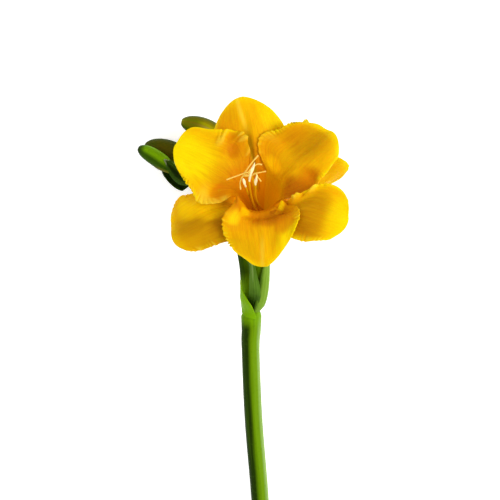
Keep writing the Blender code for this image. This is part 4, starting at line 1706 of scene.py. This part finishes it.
LOWER_LEFT_TEPAL = Tepal(
    207, 30.6, 0.0, (8.8, 11.7), root_turn=10, widest=(0.45, 0.4), fullness=(3.8, 4.2),
    cup=-0.01, lifts=(-1.0, -2.2), ruffle=0.4, waves=2.0, bend=2.5, inner=False,
    folds=(
        Fold(-1.0, 0.7, 0.4, 0.12, 0.0, -1.0, tone=0.0), Fold(-0.4, 0.6, 0.3, 0.25, 0.8, tone=0.0),
        Fold(-0.8, 1.0, 0.4, 0.2, 0.0, outwards=-1.0, tone=0.0),
        Fold(0.5, 1.0, 0.5, 0.3, 0.0, outwards=1.6, tone=0.0),
        Fold(1.0, 0.85, 0.5, 0.25, 0.0, -1.6, tone=0.0), Fold(1.0, 0.14, 0.5, 0.1, -1.5, tone=0.0),
    ),
    frills=(Frill(1, 0.5, 0.95, 0.15, 12.0), Frill(-1, 0.5, 0.95, 0.15, 12.0)),
    finish=PetalFinish(
        patches=(
            # Painted shade on its middle.
            Patch(0.1, 0.65, 1.0, 0.45, (0.38, 0.18, 0.0), 0.85),
            # Painted shadow cast by the bottom tepal.
            Patch(0.7, 0.35, 0.7, 0.3, (0.33, 0.13, 0.0), 0.95),
            # Painted light on its upper part, over three patches.
            Patch(-0.6, 0.5, 0.45, 0.4, (0.8, 0.52, 0.0), 0.9),
            Patch(-0.4, 0.62, 0.6, 0.3, (0.82, 0.54, 0.0), 0.8),
            Patch(0.0, 0.42, 0.45, 0.24, (0.82, 0.52, 0.0), 0.85),
            # Painted shade along its lower margin, which turns away from the light.
            Patch(0.85, 0.65, 0.45, 0.45, (0.48, 0.25, 0.0), 0.7),
        ),
        rim=0.25,
    ),
)
LOWER_RIGHT_TEPAL = Tepal(
    -25, 30.8, 1.0, (11.8, 8.6), root_turn=-30, widest=(0.5, 0.72), fullness=(2.6, 1.9),
    lifts=(-3.0, 0.5), ruffle=0.5, phase=0.5, bend=2.5, inner=False,
    folds=(
        Fold(1.0, 0.22, 0.8, 0.18, 0.0, -3.2, tone=0.0),
        Fold(-0.3, 1.0, 0.5, 0.3, 0.0, outwards=1.3, tone=0.0),
        Fold(-1.0, 0.85, 0.4, 0.2, 0.0, 0.8, tone=0.0), Fold(-1.0, 0.45, 0.4, 0.2, 0.0, -0.5, tone=0.0),
        Fold(0.9, 0.42, 0.25, 0.05, 1.2), Fold(0.85, 0.34, 0.25, 0.05, -0.8),
        Fold(0.95, 0.27, 0.25, 0.05, 1.0), Fold(0.0, 0.15, 0.9, 0.1, -2.0, tone=0.0),
        Fold(-0.95, 0.16, 0.5, 0.13, -2.2, tone=0.0),
    ),
    frills=(Frill(1, 0.15, 0.6, 0.5, 14.0, 0.3, 0.3), Frill(-1, 0.5, 0.9, 0.12, 12.0)),
    finish=PetalFinish(
        rim=0.75,
        patches=(
            # Painted shade on its middle.
            Patch(-0.2, 0.49, 1.1, 0.42, (0.42, 0.19, 0.0), 0.8),
            # Painted shade on its lower side, and painted light at its tip.
            Patch(-0.8, 0.5, 0.5, 0.5, (0.4, 0.17, 0.0), 0.6), Patch(0.0, 0.95, 1.1, 0.3, LEMON, 0.7),
            # Painted shade at its root beside the bottom tepal, and a painted highlight on its ruffled upper
            # margin.
            Patch(-0.1, 0.1, 1.0, 0.2, SHADED_ORANGE, 0.9), Patch(0.95, 0.42, 0.3, 0.3, (0.75, 0.45, 0.0), 0.8),
        ),
    ),
)
BOTTOM_TEPAL = Tepal(
    -84.5, 27.4, -2.0, (12.8, 12.8), widest=(0.3, 0.3), fullness=(1.8, 1.25), cup=0.02,
    lifts=(0.0, 0.8), ruffle=0.8, waves=2.0, phase=0.1, bend=3.0, crease=-0.3,
    folds=(
        Fold(-0.82, 0.15, 0.2, 0.06, 6.5, power=1.0, tone=0.0), Fold(0.8, 0.17, 0.3, 0.09, -3.0, tone=0.0),
        Fold(0.15, 0.16, 0.6, 0.1, -1.6, tone=0.0), Fold(-0.5, 0.14, 0.22, 0.08, -1.5, tone=0.0),
        Fold(-1.0, 0.21, 0.3, 0.05, 0.0, 1.9, tone=0.0), Fold(0.95, 0.13, 0.3, 0.035, 2.4, tone=0.0),
        Fold(-0.9, 0.88, 0.35, 0.12, 0.0, 0.9, tone=0.0), Fold(0.5, 0.65, 0.25, 0.25, 0.9, tone=0.0),
        Fold(-0.45, 0.6, 0.25, 0.25, -0.7, tone=0.0),
    ),
    frills=(Frill(-1, 0.22, 0.75, 0.35, 20.0, 0.2, 0.3), Frill(1, 0.2, 0.6, 0.25)),
    finish=PetalFinish(
        stripe=0.35, sway=-0.2, amber_to=0.6, rim=0.5,
        patches=(
            # Painted light low on its right, and painted shade low on its left.
            Patch(0.7, 0.8, 0.5, 0.4, LEMON, 0.65), Patch(-0.65, 0.78, 0.5, 0.35, (0.5, 0.29, 0.0), 0.7),
            # Painted shade on its upper part and on the left face of its flap.
            Patch(0.25, 0.24, 0.7, 0.2, SHADED_ORANGE, 0.9), Patch(-0.85, 0.2, 0.25, 0.12, (0.5, 0.16, 0.0), 0.9),
            # Painted light on the right face of the flap.
            Patch(-0.6, 0.15, 0.12, 0.1, (0.78, 0.48, 0.0), 0.8),
            # A painted highlight on a raised fold at its right root.
            Patch(0.9, 0.13, 0.16, 0.035, (0.9, 0.6, 0.0), 0.95),
            Patch(-0.75, 0.27, 0.25, 0.08, (0.85, 0.56, 0.0), 0.8), Patch(0.6, 0.45, 0.4, 0.25, AMBER, 0.6),
        ),
    ),
)

OPEN_BLOOM = Bloom(
    "bloom_1", STEM,
    ((3.4, 10.3, 13.5), (6.4, 16.8, 19.0), (7.6, 41.1, 22.3), (5.5, 50.5, 40.0)),
    tepals=(
        TOP_TEPAL, UPPER_LEFT_TEPAL, UPPER_RIGHT_TEPAL, LOWER_LEFT_TEPAL, LOWER_RIGHT_TEPAL, BOTTOM_TEPAL
    ),
)
OPEN_STAMENS = (
    Stamen(0, 13.0, (3.8, 46.4, 37.0), (2.7, 52.7, 49.7), (4.4, 58.6, 50.2)),
    Stamen(100, 13.0, (5.0, 46.9, 37.0), (4.6, 51.6, 48.7), (5.1, 54.8, 50.6)),
    Stamen(-100, 13.0, (2.9, 47.3, 37.0), (1.5, 51.1, 47.8), (0.7, 53.6, 50.0)),
)
OPEN_STYLE = ((4.3, 48.0, 37.0), (4.2, 51.6, 44.0), (3.4, 54.6, 46.8))
OPEN_FORKS: tuple[Fork, ...] = (
    (
        (0.9, 54.6, 47.4),
        ((2.1, 56.7, 47.9), (3.8, 59.0, 47.9), (5.5, 60.9, 47.8)),
        ((-0.2, 52.5, 47.6), (-0.1, 50.2, 47.2)),
    ),
    (
        (2.4, 55.6, 47.8),
        ((-1.8, 54.2, 48.6), (-4.5, 53.2, 48.3)),
        ((4.9, 58.0, 48.0), (6.7, 58.0, 47.9)),
    ),
    (
        (4.6, 55.2, 47.5),
        ((7.9, 55.9, 47.8),),
        ((5.4, 54.0, 47.3), (6.4, 52.7, 47.2)),
    ),
)

HALF_OPEN_BLOOM = Bloom(
    "bloom_2", STEM,
    ((-1.0, 35.7, 9.5), (3.6, 41.7, 11.7), (8.5, 46.3, 13.0), (15.0, 52.5, 13.5)),
    across_towards=(-0.69, 0.72, 0.0), mouth_radius=6.0, neck_radius=2.0, flare=6.5, tail_depth=10.0,
    columns=44, rows=80, funnel=FunnelFinish(foot_to=1.6, throat_from=1.6),
    tepals=tuple(
        Tepal(
            angle, reach, rise, (half, half), cup=0.08, ruffle=ruffle, waves=2.0, phase=phase,
            inner=inner, finish=finish,
        )
        for angle, reach, rise, half, ruffle, phase, inner, finish in (
            (70, 12.5, 22.0, 8.0, 0.5, 0.0, True, PetalFinish()),
            (190, 9.6, 20.0, 7.5, 0.3, 0.2, True, PetalFinish()),
            (310, 12.0, 19.0, 7.5, 0.5, 0.4, True, PetalFinish()),
            # The fourth tepal's lemon margins are painted light on a tip that lies in shade.
            (22, 11.8, 20.3, 7.0, 0.5, 0.6, False, PetalFinish(rim=1.0, rim_width=0.5, veins=0.1)),
            (130, 12.5, 20.0, 7.0, 0.5, 0.0, False, PetalFinish()),
            (255, 14.4, 18.0, 7.0, 0.3, 0.3, False, PetalFinish()),
        )
    ),
)
HALF_OPEN_STAMENS = tuple(
    Stamen(side, 7.0, *(HALF_OPEN_BLOOM.spot(angle, *at) for at in ((1.3, -1.0), (1.6, 6.0), (2.0, 12.0))))
    for side, angle in ((0, 90), (-120, 330), (120, 210))
)
HALF_OPEN_STYLE = tuple(HALF_OPEN_BLOOM.spot(0, 0.0, height) for height in (-3.0, 6.0, 13.5))
HALF_OPEN_FORKS = tuple(
    (
        HALF_OPEN_BLOOM.spot(angle, 1.0, 15.0),
        (HALF_OPEN_BLOOM.spot(angle - 25, 3.0, 16.5),),
        (HALF_OPEN_BLOOM.spot(angle + 25, 3.0, 16.5),),
    )
    for angle in (30, 150, 270)
)

UPPER_BUD = Bud(
    "bud_3",
    STEM,
    ((-9.2, 46.9, 8.8), (-3.4, 61.8, 8.6), (-3.5, 70.7, 8.8), (-20.2, 74.2, 9.0)),
    finish=GreenFinish(
        # Painted shade along both edges.
        body=(0.33, 0.31, 0.0), shaded_left=(0.07, 0.09, 0.0), right=(0.07, 0.1, 0.0), shaded_left_from=-0.3,
        shaded_left_to=-0.95, right_from=0.35, right_to=0.95, streak=(0.2, 0.12, 0.0), streaky=0.5,
        patches=(
            # A painted highlight along its length, then a dark green tip.
            Patch(0.02, 2.2, 0.03, 1.2, (0.5, 0.46, 0.1), 0.6), Patch(0.0, 3.3, 1.0, 0.5, (0.04, 0.08, 0.0)),
        ),
    ),
)
LOWER_BUD = Bud(
    "bud_4",
    STEM,
    ((-13.3, 49.9, 8.6), (-12.6, 57.5, 4.3), (-17.0, 64.2, 3.4), (-32.9, 66.2, 3.6)),
    slot=Slot.LOWER_BUD,
    finish=GreenFinish(
        # An olive body darkened as painted shade, with painted shade on its edges.
        body=(0.07, 0.06, 0.0), shaded_left=(0.05, 0.05, 0.0), right=(0.035, 0.055, 0.0), right_from=0.2,
        streak=(0.1, 0.06, 0.0), streaky=0.3,
        patches=(Patch(0.0, 2.9, 1.0, 0.5, (0.035, 0.06, 0.0)),),
    ),
)
END_BUD = Bud(
    "bud_5",
    STEM,
    ((-17.3, 53.3, 8.8), (-22.3, 56.4, 10.5), (-26.5, 61.5, 11.4), (-34.6, 65.3, 10.6)),
    radius=2.8,
    belly=0.42,
    blunt=3.2,
    slot=Slot.END_BUD,
    ovary_length=3.0,
    finish=GreenFinish(
        # Painted shade on its lower left, and a darker painted band along its upper right edge.
        body=(0.17, 0.36, 0.0), shaded_left=(0.03, 0.08, 0.0), right=(0.1, 0.24, 0.0), shaded_left_from=0.15,
        shaded_left_to=-0.35, right_from=0.8, right_to=1.1,
        patches=(
            Patch(0.1, 0.75, 0.15, 0.25, (0.4, 0.46, 0.22), 0.7),
            Patch(0.0, 2.25, 1.0, 0.4, (0.01, 0.025, 0.0), 1.0),
            Patch(-0.2, 0.9, 0.12, 0.5, (0.16, 0.13, 0.0), 0.8),
        ),
    ),
)

LIME_BRACT = BractFinish(
    body=(0.15, 0.33, 0.0), light=(0.2, 0.39, 0.0), paper=(0.28, 0.46, 0.04),
    patches=(Patch(0.0, 0.0, 2.0, 0.3, (0.14, 0.3, 0.0), 0.95),),
)
TONGUE_BRACT = BractFinish(
    body=(0.07, 0.16, 0.01), light=(0.13, 0.26, 0.03),
    patches=(
        # A painted highlight along its middle.
        Patch(-0.2, 0.75, 0.3, 0.3, (0.26, 0.4, 0.11), 0.5),
        # Painted shade over its foot, in the gap behind the sheath's rim.
        Patch(0.0, 0.0, 2.0, 0.45, (0.012, 0.035, 0.0), 0.95),
    ),
)
RIGHT_BRACT = BractFinish(
    body=(0.12, 0.23, 0.01), light=(0.22, 0.35, 0.05),
    patches=(
        # Painted shade along its left margin (the first patch), in the gap beside the tongue bract.
        Patch(-0.95, 0.3, 0.3, 0.6, (0.02, 0.06, 0.0), 0.8), Patch(0.2, 0.5, 0.4, 0.6, (0.24, 0.37, 0.07)),
    ),
)
# Very dark green: painted shade on bracts that lie in shadow.
SHADED_BRACT = BractFinish(body=(0.012, 0.035, 0.0), light=(0.03, 0.07, 0.0), paper_from=0.9)
GREEN_BRACT = BractFinish(
    body=(0.02, 0.055, 0.0), light=(0.05, 0.11, 0.01), paper_from=0.9,
    patches=(
        Patch(0.55, 0.55, 0.3, 0.35, (0.12, 0.2, 0.03), 0.8),
        # Painted shade, near black.
        Patch(-0.3, 0.6, 0.4, 0.5, (0.004, 0.012, 0.0), 0.95),
    ),
)
BRACTS = (
    Bract("sheath_bract", OPEN_BLOOM, -28, 66, 4.3, 5.8, 0.0, 11.5, 1.2, -63, LIME_BRACT, 0.5),
    Bract("bloom_1_bract_right", OPEN_BLOOM, 75, 72, 2.75, 3.1, 1.0, 27.0, 4.0, 0.0, RIGHT_BRACT,
          0.08, 0.75),
    Bract("bloom_1_bract_left", OPEN_BLOOM, 5, 35, 3.6, 4.1, 3.0, 23.0, 2.0, -50, TONGUE_BRACT),
    Bract("bloom_2_bract_upper", HALF_OPEN_BLOOM, 0, 78, 2.8, 3.5, 1.0, 12.5),
    Bract("bloom_2_bract_lower", HALF_OPEN_BLOOM, 180, 78, 2.8, 3.4, 1.0, 11.5),
    Bract("bud_3_bract_upper", UPPER_BUD, 0, 76, 2.0, 2.4, 0.5, 11.0),
    Bract("bud_3_bract_lower", UPPER_BUD, 180, 76, 2.0, 2.4, 0.5, 10.0),
    Bract("bud_4_bract_upper", LOWER_BUD, 0, 76, 2.0, 2.6, 0.5, 10.5, finish=SHADED_BRACT),
    Bract("bud_4_bract_lower", LOWER_BUD, 180, 76, 2.0, 2.6, 0.5, 9.5, finish=SHADED_BRACT),
    Bract("bud_5_bract_upper", END_BUD, 20, 80, 2.3, 3.3, 0.5, 12.0, finish=GREEN_BRACT, belly=0.3),
    Bract("bud_5_bract_lower", END_BUD, 200, 76, 2.8, 4.0, 0.5, 11.5, finish=SHADED_BRACT, settles=0.05,
          belly=0.7),
)


def write_sizes(solids: tuple[Vector, Vector], dressed: tuple[Vector, Vector]) -> None:
    """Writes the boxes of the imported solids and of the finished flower.

    Args:
        solids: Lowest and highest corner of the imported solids.
        dressed: Lowest and highest corner of the finished flower.
    """
    boxes = {"solids": [list(corner) for corner in solids], "dressed": [list(corner) for corner in dressed]}
    for name, (low, high) in boxes.items():
        log.info("%s: %s to %s mm", name, [round(c / MM, 2) for c in low], [round(c / MM, 2) for c in high])


def main() -> None:
    """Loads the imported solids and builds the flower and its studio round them."""
    logging.basicConfig(level=logging.INFO, format="%(name)s: %(message)s")
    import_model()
    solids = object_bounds()
    buds = (UPPER_BUD, LOWER_BUD, END_BUD)
    flowers = (OPEN_BLOOM, HALF_OPEN_BLOOM, *buds)
    STEM.build(flowers)
    for bract in BRACTS:
        bract.build()
    for flower in flowers:
        flower.ovary()
        flower.build()
    OPEN_BLOOM.style(OPEN_STYLE, OPEN_FORKS)
    HALF_OPEN_BLOOM.style(HALF_OPEN_STYLE, HALF_OPEN_FORKS)
    for bloom, stamens in ((OPEN_BLOOM, OPEN_STAMENS), (HALF_OPEN_BLOOM, HALF_OPEN_STAMENS)):
        for number, stamen in enumerate(stamens, 1):
            stamen.build(bloom, number)
    Studio().build()
    write_sizes(solids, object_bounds())


if __name__ == "__main__":
    main()
